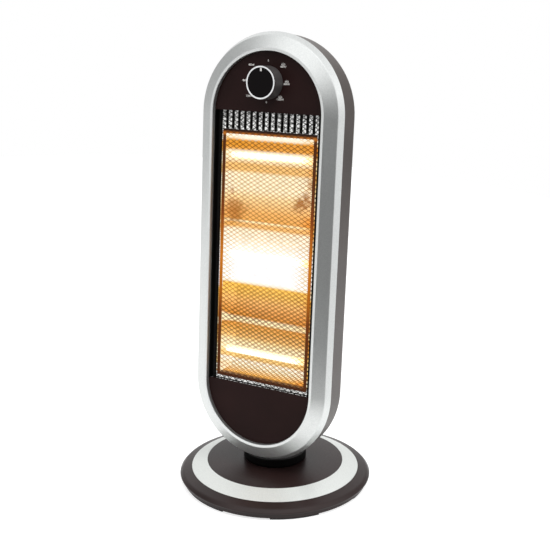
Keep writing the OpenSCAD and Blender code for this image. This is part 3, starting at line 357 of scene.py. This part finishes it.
def browned(tree, at, across, glow):
    """The painted glow, browner at the right end of the lamps and in ragged brown patches."""
    streaks = add(tree, "TexNoise", {}, {"Vector": at, "Scale": per_metre(22), "Detail": 2})
    streaks = add(tree, "MapRange", {}, {"Value": streaks, "From Min": 0.4, "From Max": 0.6, "To Min": 0.15})
    end = add(tree, "MapRange", SOFT, {"Value": across, "From Min": SHEET_END[0], "From Max": SHEET_END[1]})
    end = add(tree, "Math", {"operation": "MULTIPLY"}, {0: end, 1: streaks})
    glow = add(tree, "Mix", TINT, {0: end, 6: glow, 7: linear("#FFDC98")}).outputs[2]
    ragged = add(tree, "TexNoise", {}, {"Vector": at, "Scale": per_metre(8), "Detail": 2})
    ragged = add(tree, "MapRange", {}, {
        "Value": ragged, "From Min": 0.3, "From Max": 0.7, "To Min": -6 * MM, "To Max": 6 * MM})
    for place, reach, depth in BROWN_PATCHES:
        spot = TO_FRAME @ Vector(place)
        far = add(tree, "VectorMath", {"operation": "DISTANCE"}, {0: at, 1: spot}).outputs["Value"]
        far = add(tree, "Math", {"operation": "ADD"}, {0: far, 1: ragged})
        near = add(tree, "MapRange", SOFT, {
            "Value": far, "From Min": 0.3 * reach * MM, "From Max": reach * MM, "To Min": depth, "To Max": 0})
        glow = add(tree, "Mix", COLOURS, {0: near, 6: glow, 7: linear("#A05C20")}).outputs[2]
    return glow


def mirrored_guard(tree, at, across, height, glow):
    """The glow with a painted reflection of the wire guard in the lower half of the sheet, wire beside wire.
    """
    rise = add(tree, "Math", {"operation": "SUBTRACT"}, {0: upright(tree, at, DEPTH), 1: TROUGH_Y})
    cells = []
    for place, shift, spacing in ((across, IMAGE_SHIFT[0], CELL_W), (height, IMAGE_SHIFT[1], CELL_H)):
        place = add(tree, "Math", {"operation": "MULTIPLY_ADD"}, {0: rise, 1: shift, 2: place})
        cells.append(add(tree, "Math", {"operation": "DIVIDE"}, {0: place, 1: IMAGE_SIZE * spacing}))
    image = 0
    for way, start in IMAGE_STARTS.items():
        turn = add(tree, "Math", {"operation": way}, {0: cells[1], 1: cells[0]})
        turn = add(tree, "Math", {"operation": "ADD"}, {0: turn, 1: start})
        gap = add(tree, "Math", {"operation": "PINGPONG"}, {0: turn, 1: 0.5})
        wire = add(tree, "MapRange", SOFT, {
            "Value": gap, "From Min": IMAGE_WIRE[0], "From Max": IMAGE_WIRE[1], "To Min": 0.85, "To Max": 0})
        image = add(tree, "Math", {"operation": "MAXIMUM"}, {0: image, 1: wire})
    low = add(tree, "MapRange", {}, {
        "Value": height, "From Min": IMAGE_FADE[1], "From Max": IMAGE_FADE[0]})
    image = add(tree, "Math", {"operation": "MULTIPLY"}, {0: image, 1: low})
    return add(tree, "Mix", COLOURS, {0: image, 6: glow, 7: linear("#84500E")}).outputs[2]


def louvre_edge_shade(tree, across, height):
    """1 in the louvre slots and in the painted shade that runs round their edges."""
    turn = add(tree, "Math", {"operation": "DIVIDE"}, {0: across, 1: LOUVRE_PITCH})
    gap = add(tree, "Math", {"operation": "PINGPONG"}, {0: turn, 1: 0.5})
    edge = add(tree, "Math", {"operation": "LESS_THAN"}, {
        0: gap, 1: (LOUVRE_HALF_W + LOUVRE_EDGE_SHADE) / LOUVRE_PITCH})
    row = add(tree, "Math", {"operation": "COMPARE"}, {0: across, 1: 0, 2: LOUVRES * LOUVRE_PITCH / 2})
    high = add(tree, "Math", {"operation": "GREATER_THAN"}, {0: height, 1: LOUVRE_LOW - LOUVRE_EDGE_SHADE})
    edge = add(tree, "Math", {"operation": "MULTIPLY"}, {0: edge, 1: row})
    return add(tree, "Math", {"operation": "MULTIPLY"}, {0: edge, 1: high})


def lit_sheet(name, wall=False):
    """Bright-rolled aluminium, crinkled by its embossing: a painted reflection of the lamps, white and amber,
    given off as emission.
    """
    made, tree, shader, at = new_finish(name, {"Metallic": 0.35, "Roughness": 0.35})
    across, depth, height = [upright(tree, at, axis) for axis in (ACROSS, DEPTH, HEIGHT)]
    normal = add(tree, "TexCoord", {}, {}).outputs["Normal"]
    band = mirrored_height(tree, at, height) if wall else height
    glow = browned(tree, at, across, light_at(tree, band, SHEET_LOW, SHEET_HIGH))
    # The embossing is 2 mm across
    emboss = add(tree, "TexVoronoi", {}, {"Vector": at, "Scale": per_metre(2)}).outputs["Color"]
    emboss = add(tree, "SeparateColor", {}, {"Color": emboss}).outputs
    bright = add(tree, "ValToRGB", {"stops": [(0.1, "#70706E"), (0.5, "#DCDCDA"), (1, "#FFFFFF")]},
                 {"Fac": emboss["Red"]}).outputs["Color"]
    # What lies behind the sheet's face shows through the louvres and is painted near black, as deep shade. A
    # painted shadow line runs below.
    dark = add(tree, "Math", {"operation": "GREATER_THAN"}, {0: depth, 1: SHEET_Y + 0.1})
    shadow_line = add(tree, "Math", {"operation": "COMPARE"}, {0: height, 1: SHADOW_LINE_Z, 2: SHADOW_LINE_HALF_H})
    dark = add(tree, "Math", {"operation": "MAXIMUM"}, {0: dark, 1: shadow_line})
    if wall:
        # On a wall's inner face the place and the normal point opposite ways
        facing = add(tree, "VectorMath", {"operation": "MULTIPLY"}, {0: at, 1: normal})
        facing = add(tree, "SeparateXYZ", {}, {"Vector": facing}).outputs["X"]
        inner = add(tree, "Math", {"operation": "LESS_THAN"}, {0: facing, 1: -OPEN_HALF_W / 2 * MM})
    else:
        glow = mirrored_guard(tree, at, across, height, glow)
        # Painted shade round the louvres' edges
        dark = add(tree, "Math", {"operation": "MAXIMUM"}, {0: dark, 1: louvre_edge_shade(tree, across, height)})
        front = -UPRIGHT[DEPTH].xyz.normalized()
        facing = add(tree, "VectorMath", {"operation": "DOT_PRODUCT"}, {0: normal, 1: front}).outputs["Value"]
        inner = add(tree, "Math", {"operation": "GREATER_THAN"}, {0: facing, 1: 0})
    bright = add(tree, "Mix", COLOURS, {0: dark, 6: bright, 7: linear("#040302")}).outputs[2]
    # Only the inner face beside and behind the lamps carries the painted glow
    inside = add(tree, "Math", {"operation": "COMPARE"}, {
        0: height, 1: (OPEN_LOW + OPEN_HIGH) / 2, 2: (OPEN_HIGH - OPEN_LOW) / 2})
    inside = add(tree, "Math", {"operation": "MULTIPLY"}, {0: inside, 1: inner})
    ripple = add(tree, "TexNoise", {}, {"Vector": at, "Scale": per_metre(9), "Detail": 3})
    ripple = add(tree, "MapRange", {}, {
        "Value": ripple, "From Min": 0.3, "From Max": 0.7, "To Min": 0.92, "To Max": 1.12})
    strip = add(tree, "MapRange", {}, {
        "Value": height, "From Min": LOUVRE_LIGHT_ZS[0], "From Max": LOUVRE_LIGHT_ZS[1],
        "To Min": LOUVRE_LIGHT[0], "To Max": LOUVRE_LIGHT[1]})
    strength = add(tree, "Mix", {"data_type": "FLOAT"}, {0: inside, 2: strip, 3: ripple})
    glow = add(tree, "Mix", COLOURS, {0: inside, 6: bright, 7: glow}).outputs[2]
    tree.links.new(glow, shader.inputs["Emission Color"])
    tree.links.new(strength.outputs[0], shader.inputs["Emission Strength"])
    tone = add(tree, "Mix", COLOURS, {0: inside, 6: bright, 7: linear("#2A1608")}).outputs[2]
    cover(tree, shader, tone, emboss["Green"], 0.12)
    return made


def browned_border(name):
    """Steel sheet browned by heat, with painted light from behind given off as emission: amber beside the
    middle lamp, and brown elsewhere.
    """
    made, tree, shader, at = new_finish(name, {
        "Metallic": 0.15, "Roughness": 0.55, "Specular IOR Level": 0.2, "Emission Strength": 1})
    glow = light_at(tree, upright(tree, at, HEIGHT), BORDER_LIGHT)
    tree.links.new(glow, shader.inputs["Emission Color"])
    scale = add(tree, "TexNoise", {}, {"Vector": at, "Scale": per_metre(5), "Detail": 3}).outputs["Fac"]
    tone = add(tree, "ValToRGB", {"stops": [(0.3, "#1C0D06"), (0.7, "#2E180C")]}, {"Fac": scale})
    cover(tree, shader, tone.outputs["Color"], scale, 0.04)
    return made


def lit_wires(name):
    """Heat-blackened steel wire, with painted lamplight given off as emission: lit in front of the lamps'
    opening, brown before its border, and dark outside it."""
    made, tree, shader, at = new_finish(name, {"Metallic": 0.2, "Roughness": 0.5, "Specular IOR Level": 0.15})
    across, height = [upright(tree, at, axis) for axis in (ACROSS, HEIGHT)]
    off = add(tree, "Math", {"operation": "ABSOLUTE"}, {0: across})
    glow = light_at(tree, height, WIRES_LOW, WIRES_HIGH)
    # The lamps end short of the opening's sides, so the wires are browner there
    end = add(tree, "MapRange", SOFT, {"Value": off, "From Min": WIRES_END[0], "From Max": WIRES_END[1]})
    glow = add(tree, "Mix", TINT, {0: end, 6: glow, 7: linear("#DCB45C")}).outputs[2]
    at_border = add(tree, "Math", {"operation": "GREATER_THAN"}, {0: off, 1: OPEN_HALF_W - BROWN_BEFORE_SIDE})
    brown = light_at(tree, height, BORDER_LIGHT)
    glow = add(tree, "Mix", COLOURS, {0: at_border, 6: glow, 7: brown}).outputs[2]
    tree.links.new(glow, shader.inputs["Emission Color"])
    low, high = BORDER_LOW[HEIGHT] - LIT_PAST_FOOT, BORDER_HIGH[HEIGHT] - LIT_SHORT_OF_HEAD
    lit = add(tree, "Math", {"operation": "COMPARE"}, {0: height, 1: (low + high) / 2, 2: (high - low) / 2})
    beside = add(tree, "Math", {"operation": "LESS_THAN"}, {0: off, 1: BORDER_HIGH[ACROSS]})
    lit = add(tree, "Math", {"operation": "MULTIPLY"}, {0: lit, 1: beside})
    tree.links.new(lit.outputs[0], shader.inputs["Emission Strength"])
    scale = add(tree, "TexNoise", {}, {"Vector": at, "Scale": per_metre(3), "Detail": 3}).outputs["Fac"]
    tone = add(tree, "ValToRGB", {"stops": [(0.3, "#060505"), (0.7, "#12100E")]}, {"Fac": scale})
    cover(tree, shader, tone.outputs["Color"], scale, 0.04)
    return made


def glowing_lamp(name, colour, strength):
    """A lamp alight: white with heat, and amber at the right, where the coil ends."""
    made, tree, shader, at = new_finish(name, {
        "Roughness": 0.08, "IOR": 1.46, "Base Color": linear("#FFF3DC"), "Emission Strength": strength})
    swirl = add(tree, "TexNoise", {}, {"Vector": at, "Scale": per_metre(4), "Detail": 2})
    tone = add(tree, "ValToRGB", {"stops": [(0.2, colour), (0.8, "#FFFFFF")]}, {"Fac": swirl})
    light = light_at(tree, upright(tree, at, HEIGHT), LAMP_LIGHT)
    tone = add(tree, "Mix", TINT, {0: 1, 6: tone, 7: light}).outputs[2]
    end = add(tree, "MapRange", SOFT, {
        "Value": upright(tree, at, ACROSS), "From Min": LAMP_END[0], "From Max": LAMP_END[1]})
    glow = add(tree, "Mix", COLOURS, {0: end, 6: tone, 7: linear("#E0A850")}).outputs[2]
    tree.links.new(glow, shader.inputs["Emission Color"])
    return made


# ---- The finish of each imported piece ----

FINISH = {
    # Moulded ABS, warm black and satin: a soft shine along the rim of the base
    "base_black": moulded_plastic("abs_moulded_base", "#201413", "#261918", 0.36, 1.6, 0.02, gloss=0.3),
    # The same plastic, painted near black: painted shade under the body, which gives the eye next to no shine
    "neck_shaded": moulded_plastic("abs_moulded_neck_shaded", "#020101", "#040303", 0.5, 1.6, 0.01, gloss=0.05),
    # Moulded ABS in a warm dark grey, with a broad soft sheen down the sides; its foot is near black, partly
    # painted shade
    "shell_grey": moulded_plastic(
        "abs_moulded_shell", "#403936", "#48413E", 0.42, 1.6, 0.02, foot=SHADED_SHELL_FOOT),
    # Moulded ABS, brown-black and almost matt, so that the dial's marks stand out
    "panel_black": moulded_plastic("abs_moulded_panel", "#1F100F", "#251413", 0.5, 1.4, 0.012, gloss=0.08),
    # Moulded ABS in dark grey, a little shiny: a highlight down the knob's side
    "knob_grey": moulded_plastic("abs_moulded_knob", "#413E3E", "#474444", 0.36, 1.0, 0.01, gloss=0.3),
    # Moulded polypropylene, dead black: a dark gap round the window
    "liner_black": moulded_plastic(
        "polypropylene_moulded_liner", "#020202", "#050404", 0.5, 1.4, 0.01, 1.49, 0.12),
    # The same with a coarser grain and a dull shine, for the hand
    "grip_black": moulded_plastic("polypropylene_moulded_grip", "#141313", "#1A1919", 0.55, 1.2, 0.03, 1.49),
    # Moulded rubber: matt black
    "rubber": moulded_plastic("natural_rubber_moulded_pad", "#0E0E0E", "#151515", 0.75, 1.2, 0.03, 1.52),
    # Moulded nylon: off-white and waxy
    "white_nylon": moulded_plastic("nylon_moulded_white", "#D4D2CA", "#E2E0D8", 0.45, 1.5, 0.01),
    # Moulded acetal: a clear red, slippery and shiny
    "red_acetal": moulded_plastic("acetal_moulded_red", "#B02018", "#C62A20", 0.35, 1.5, 0.01, 1.48),
    # Pad-printed ink: flat, slightly warm white
    "white_ink": moulded_plastic("pad_printed_white_ink", "#DCDAD6", "#E8E6E2", 0.5, 0.8, 0.005, 1.5),
    # Sprayed silver: it shades from near white to mid grey round the bezel
    "silver": silver_paint("silver_paint_on_abs", 0.9, 0.38, "#CCCFCE", "#DADCDB"),
    # Sprayed matt silver: an even, pale ring on the base
    "silver_matt": silver_paint("silver_paint_matt_on_abs", 0.5, 0.45, "#D6D9D6", "#E0E3E0"),
    # Zinc plating: a cool grey shine on the screws and brackets
    "zinc": plated_metal("zinc_plated_steel", "#A8A9A6", "#C6C7C3", 0.32, 2.5, 0.01),
    # Galvanised steel: large pale spangles on the motor's can
    "motor_can": plated_metal("galvanised_steel_can", "#9C9FA0", "#BEC1C2", 0.36, 5, 0.015),
    # Chrome plating on ABS: a bright ring round the knob's face
    "chrome": plated_metal("chrome_plated_abs", "#DEDFE0", "#ECEDEE", 0.26, 6, 0.002),
    # Aluminised steel, painted nearly black: painted shade behind the louvres
    "shade_behind_louvres": plated_metal("aluminised_steel_painted_shade", "#141210", "#201D1A", 0.55, 4, 0.01),
    "ceramic": ceramic("steatite_ceramic"),
    "lit_sheet": lit_sheet("aluminium_embossed_bright"),
    # The same sheet beside the lamps, where the painted bands slant
    "lit_wall": lit_sheet("aluminium_sheet_beside_lamps", wall=True),
    "lit_border": browned_border("steel_heat_browned"),
    "lit_wire": lit_wires("steel_wire_heat_blackened"),
    # Fused quartz, filled with the light of its coil
    "quartz": glowing_lamp("fused_quartz_alight", "#FFF4DA", 1.1),
    # Wound tungsten, the brightest thing in the heater
    "coil": glowing_lamp("tungsten_coil_alight", "#FFE6B0", 3),
    "gloss": knob_gloss("acrylic_gloss_black"),
}

# The finish that each slot of the record takes
SLOT_FINISH = {
    "dark_plastic": "base_black", "rubber_black": "rubber", "silver_paint": "silver", "zinc_steel": "zinc",
    "white_plastic": "white_nylon", "red_plastic": "red_acetal", "motor_case": "motor_can",
    "shell_plastic": "shell_grey", "black_plastic": "grip_black", "panel_plastic": "panel_black",
    "liner_black": "liner_black", "mesh_wire": "lit_wire", "browned_steel": "lit_border",
    "bright_sheet": "lit_sheet", "ceramic": "ceramic", "quartz": "quartz", "filament_wire": "coil",
    "knob_plastic": "knob_grey", "knob_chrome": "chrome", "knob_gloss": "gloss", "pointer_white": "white_ink",
}
# Pieces whose look differs from the rest of their slot
NODE_FINISH = {
    "lamp_bracket_left": "lit_wall", "lamp_bracket_right": "lit_wall", "turntable": "neck_shaded",
    "thrust_washer": "neck_shaded", "trim_ring": "silver_matt", "heat_shield": "shade_behind_louvres",
}


def finish_nodes():
    """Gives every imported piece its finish."""
    for row in frame["record"]["subparts"]:
        name = row["node"]
        data = frame["nodes"][name].data
        data.materials.clear()
        data.materials.append(FINISH[NODE_FINISH.get(name, SLOT_FINISH[row["material_slot"]])])


# ---- New pieces ----

def dress(name, data, finish):
    """A mesh as a piece of the body, with its finish."""
    data.materials.clear()
    data.materials.append(FINISH[finish])
    made = bpy.data.objects.new(name, data)
    bpy.context.scene.collection.objects.link(made)
    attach(made, "heater")
    return made


def piece(name, points, faces, finish):
    """A piece from places on the upright body."""
    data = bpy.data.meshes.new(name)
    data.from_pydata([TO_FRAME @ Vector(point) for point in points], [], faces)
    data.update()
    return dress(name, data, finish)


def prism(points, faces, start, end):
    """Adds a closed solid between two outlines of as many points."""
    first, n = len(points), len(start)
    points += start + end
    for i in range(n):
        j = (i + 1) % n
        faces.append([first + i, first + j, first + n + j, first + n + i])
    faces.append([first + i for i in reversed(range(n))])
    faces.append([first + n + i for i in range(n)])


# ---- Wire guard ----

WIRE_R = 0.42
WIRE_SIDES = 6
# How far the two layers of wires lie from the middle of the guard, so that they sink into each other a little
LAYER_Y = 0.32
# The flat strip round the wires, how far they reach into it, and the shortest wire
STRIP_W = 3
STRIP_T = 0.7
WIRE_INSET = 1
WIRE_LEAST = 2


def wire_span(z, along):
    """Start and end of a wire that passes the middle of the guard at a height, as distances from there."""
    spans = []
    for axis, start, step in ((ACROSS, 0, along.x), (HEIGHT, z, along.y)):
        low, high = GUARD_LOW[axis] + WIRE_INSET, GUARD_HIGH[axis] - WIRE_INSET
        spans.append(sorted(((low - start) / step, (high - start) / step)))
    return max(enter for enter, _ in spans), min(leave for _, leave in spans)


def guard_wires():
    """Two layers of slanting wires in a flat strip, welded where they cross."""
    points, faces = [], []
    turns = [2 * math.pi * k / WIRE_SIDES for k in range(WIRE_SIDES)]
    section = [(WIRE_R * math.cos(a), WIRE_R * math.sin(a)) for a in turns]
    middle = (GUARD_LOW[HEIGHT] + GUARD_HIGH[HEIGHT]) / 2
    reach = GUARD_HIGH[HEIGHT] - middle + GUARD_HIGH[ACROSS] * CELL_H / CELL_W
    rows = math.ceil(reach / CELL_H)
    for y, slope in ((GUARD_Y - LAYER_Y, 1), (GUARD_Y + LAYER_Y, -1)):
        along = Vector((CELL_W, slope * CELL_H)).normalized()
        for k in range(-rows, rows):
            z = middle + (k + 0.5) * CELL_H
            enter, leave = wire_span(z, along)
            if leave - enter < WIRE_LEAST:
                continue
            rings = [[(t * along.x - v * along.y, y + u, z + t * along.y + v * along.x) for u, v in section]
                     for t in (enter, leave)]
            prism(points, faces, *rings)
    (left, _, low), (right, _, high) = GUARD_LOW, GUARD_HIGH
    for x0, x1, z0, z1 in ((left, right, low, low + STRIP_W), (left, right, high - STRIP_W, high),
                           (left, left + STRIP_W, low + STRIP_W, high - STRIP_W),
                           (right - STRIP_W, right, low + STRIP_W, high - STRIP_W)):
        outlines = [[(x, y, z) for x, z in ((x0, z0), (x1, z0), (x1, z1), (x0, z1))]
                    for y in (GUARD_Y + STRIP_T / 2, GUARD_Y - STRIP_T / 2)]
        prism(points, faces, *outlines)
    made = piece("guard_wires", points, faces, "lit_wire")
    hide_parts("guard_mesh")


# ---- Marks on the control panel ----

# Thickness of the ink, height of the letters and how much bolder than the plain font they are
INK = 0.12
LETTER_H = 3.8
LETTER_BOLD = 0.06
# How far a sign stands above a mark's place, and its words below it
SIGN_UP = 1.4
WORDS_DOWN = 1.6
# The sign's strokes, and its arc: width, radius and how far its centre stands above the sign's place
STROKE_W = 0.5
ARC_W = 0.45
ARC_R = 3.4
ARC_UP = 2.2
# Each mark's place from the middle of the knob, its words, and whether it has the sign for swinging:
# off, three heats that swing, one mark for no heat, and three heats that stand still
DIAL = (
    (-1.5, 29.5, "0", False),
    (22, 23.5, "400W", True), (28.5, 0.5, "800W", True), (19, -20.5, "1200W", True),
    (-2.5, -27, "0", False),
    (-30, -19.5, "1200W", False), (-37, 1.5, "800W", False), (-28.5, 23, "400W", False))


def printed(name, outlines):
    """Thin ink shapes on the control panel, from flat outlines across and up."""
    points, faces = [], []
    for outline in outlines:
        prism(points, faces, *[[(x, y, z) for x, z in outline] for y in (PANEL_Y, PANEL_Y - INK)])
    piece(name, points, faces, "white_ink")


def letters(name, words, x, z):
    """Printed words, centred on a place of the panel."""
    curve = bpy.data.curves.new(name, "FONT")
    curve.body = words
    curve.size = LETTER_H * MM
    curve.align_x = curve.align_y = "CENTER"
    curve.extrude = INK / 2 * MM
    curve.offset = LETTER_BOLD * MM
    curve.resolution_u = 3
    text = bpy.data.objects.new(name + "_outline", curve)
    bpy.context.scene.collection.objects.link(text)
    bpy.context.view_layer.update()
    data = bpy.data.meshes.new_from_object(text)
    data.name = name
    bpy.data.objects.remove(text)
    place = Matrix.Translation(Vector((x, PANEL_Y - INK / 2, z)) * MM)
    data.transform(LEAN @ place @ Matrix.Rotation(math.pi / 2, 4, "X"))
    dress(name, data, "white_ink")


def stroke(p, q, width):
    """Outline of a straight stroke between two places."""
    p, q = Vector(p), Vector(q)
    along = (q - p).normalized() * width / 2
    across = Vector((-along.y, along.x))
    return [tuple(corner) for corner in (p + across, p - across, q - across, q + across)]


def swing_sign(x, z):
    """A lamp that turns to both sides: an upright stroke between two slanted ones, over a two-headed arc."""
    shapes = [stroke((x, z - 0.2), (x, z + 2.4), STROKE_W)]
    shapes += [stroke((x + s * 0.5, z - 0.2), (x + s * 2.2, z + 1.8), STROKE_W) for s in (-1, 1)]
    turns = [math.radians(degrees) for degrees in range(-50, 51, 20)]
    arc = [(x + ARC_R * math.sin(a), z + ARC_UP - ARC_R * math.cos(a)) for a in turns]
    shapes += [stroke(p, q, ARC_W) for p, q in zip(arc, arc[1:])]
    for s in (-1, 1):
        tip = (x + s * 3.1, z + 0.8)
        shapes.append([tip, (tip[0] - s * 1.3, tip[1] - 0.2), (tip[0] - s * 0.1, tip[1] - 1.5)][::s])
    return shapes


def dial_marks():
    """The marks round the knob."""
    for k, (x, z, words, swings) in enumerate(DIAL, 1):
        letters(f"dial_words_{k}", words, x, KNOB_Z + z - (WORDS_DOWN if swings else 0))
        if swings:
            printed(f"dial_swing_sign_{k}", swing_sign(x, KNOB_Z + z + SIGN_UP))


# ---- Stage, light and camera ----

FLOOR_R = 2
FLOOR_MIDDLE = (-1.3, 0.75)
FLOOR_SIDES = 96

# The room's light: an even grey, and broad patches that each have a direction, the cosines at their edge and
# core, and a change of brightness
ROOM_SHADE = 0.38
ROOM_PATCHES = (
    ((0.04, -0.57, 0.82), 0.64, 1.0, 1.22),       # overhead and in front
    ((-0.4, 0.6, 0.7), 0.55, 0.95, 0.7),          # behind
    ((0.69, 0.1, 0.72), 0.75, 0.97, 0.85),        # high on the right
    ((0.98, 0.18, -0.02), 0.62, 0.97, 0.65),      # on the right
    ((0.41, -0.9, -0.26), 0.72, 0.97, -0.36),     # a dark screen in front, low
    ((-0.48, -0.865, -0.146), 0.84, 0.97, 0.7),   # in front on the left
    ((-0.9, -0.4, -0.2), 0.8, 1.0, 0.3))          # on the left

# A lamp with a soft box, high on the right: its place and what it points at, its side and its watts
SOFT_BOX_PLACE = Vector((0.9, -0.5, 2.2))
SOFT_BOX_TARGET = Vector((0, 0, 0.45))
SOFT_BOX_SIDE = 0.9
SOFT_BOX_WATTS = 20

# The camera's place in metres, and its tilt, roll and heading in degrees
CAMERA_PLACE = (0.71682, -1.24468, 0.71025)
CAMERA_TURN = (74.812, -0.14, 30)
CAMERA_LENS_MM = 66.71
CAMERA_SENSOR_MM = 36


def stage():
    """A round sheet of white paper, which reaches further to the left and back than to the front."""
    data = bpy.data.meshes.new("floor")
    turns = [2 * math.pi * k / FLOOR_SIDES for k in range(FLOOR_SIDES)]
    x, y = FLOOR_MIDDLE
    rim = [(x + FLOOR_R * math.cos(a), y + FLOOR_R * math.sin(a), 0) for a in turns]
    data.from_pydata(rim, [], [list(range(FLOOR_SIDES))])
    made, tree, shader, at = new_finish("matt_white_paper_floor", {
        "Roughness": 0.9, "Base Color": linear("#C4C4C4"), "Emission Color": (1, 1, 1, 1)})
    # It is white to the eye and in reflections, and throws little light up
    dim = add(tree, "LightPath", {}, {}).outputs["Is Diffuse Ray"]
    strength = add(tree, "MapRange", {}, {"Value": dim, "To Min": 0.68, "To Max": 0})
    tree.links.new(strength.outputs["Result"], shader.inputs["Emission Strength"])
    fibre = add(tree, "TexNoise", {}, {"Vector": at, "Scale": per_metre(3), "Detail": 2}).outputs["Fac"]
    cover(tree, shader, None, fibre, 0.02)
    data.materials.append(made)
    floor = bpy.data.objects.new("floor", data)
    bpy.context.scene.collection.objects.link(floor)


def room():
    """A white backdrop to the eye; for the light it is grey, with wide soft patches."""
    world = bpy.data.worlds.new("studio")
    bpy.context.scene.world = world
    world.use_nodes = True
    tree = world.node_tree
    tree.nodes.clear()
    way = add(tree, "TexCoord", {}, {}).outputs["Generated"]
    shade = ROOM_SHADE
    for toward, edge, core, change in ROOM_PATCHES:
        middle = Vector(toward).normalized()
        facing = add(tree, "VectorMath", {"operation": "DOT_PRODUCT"}, {0: way, 1: middle}).outputs["Value"]
        patch = add(tree, "MapRange", SOFT, {
            "Value": facing, "From Min": edge, "From Max": core, "To Min": 0, "To Max": change})
        shade = add(tree, "Math", {"operation": "ADD"}, {0: shade, 1: patch})
    seen = add(tree, "LightPath", {}, {}).outputs["Is Camera Ray"]
    level = add(tree, "Mix", {"data_type": "FLOAT"}, {0: seen, 2: shade, 3: 1.0})
    sky = add(tree, "Background", {}, {"Color": (1, 1, 1, 1), "Strength": level})
    add(tree, "OutputWorld", {}, {"Surface": sky})


def soft_box():
    """One broad light above the heater, which doesn't show in the gloss."""
    data = bpy.data.lights.new("top_right", "AREA")
    data.size = SOFT_BOX_SIDE
    data.energy = SOFT_BOX_WATTS
    made = bpy.data.objects.new("top_right", data)
    made.location = SOFT_BOX_PLACE
    made.rotation_euler = (SOFT_BOX_TARGET - SOFT_BOX_PLACE).to_track_quat("-Z", "Y").to_euler()
    made.visible_glossy = False
    bpy.context.scene.collection.objects.link(made)


def camera():
    """The photograph's view: from the right and a little above."""
    data = bpy.data.cameras.new("camera")
    data.sensor_width = CAMERA_SENSOR_MM
    data.sensor_fit = "HORIZONTAL"
    data.lens = CAMERA_LENS_MM
    data.clip_start = 0.05
    made = bpy.data.objects.new("camera", data)
    made.location = CAMERA_PLACE
    made.rotation_euler = [math.radians(degrees) for degrees in CAMERA_TURN]
    bpy.context.scene.collection.objects.link(made)
    bpy.context.scene.camera = made


bpy.context.scene.view_settings.view_transform = "Standard"
camera()
finish_nodes()
guard_wires()
dial_marks()
stage()
room()
soft_box()
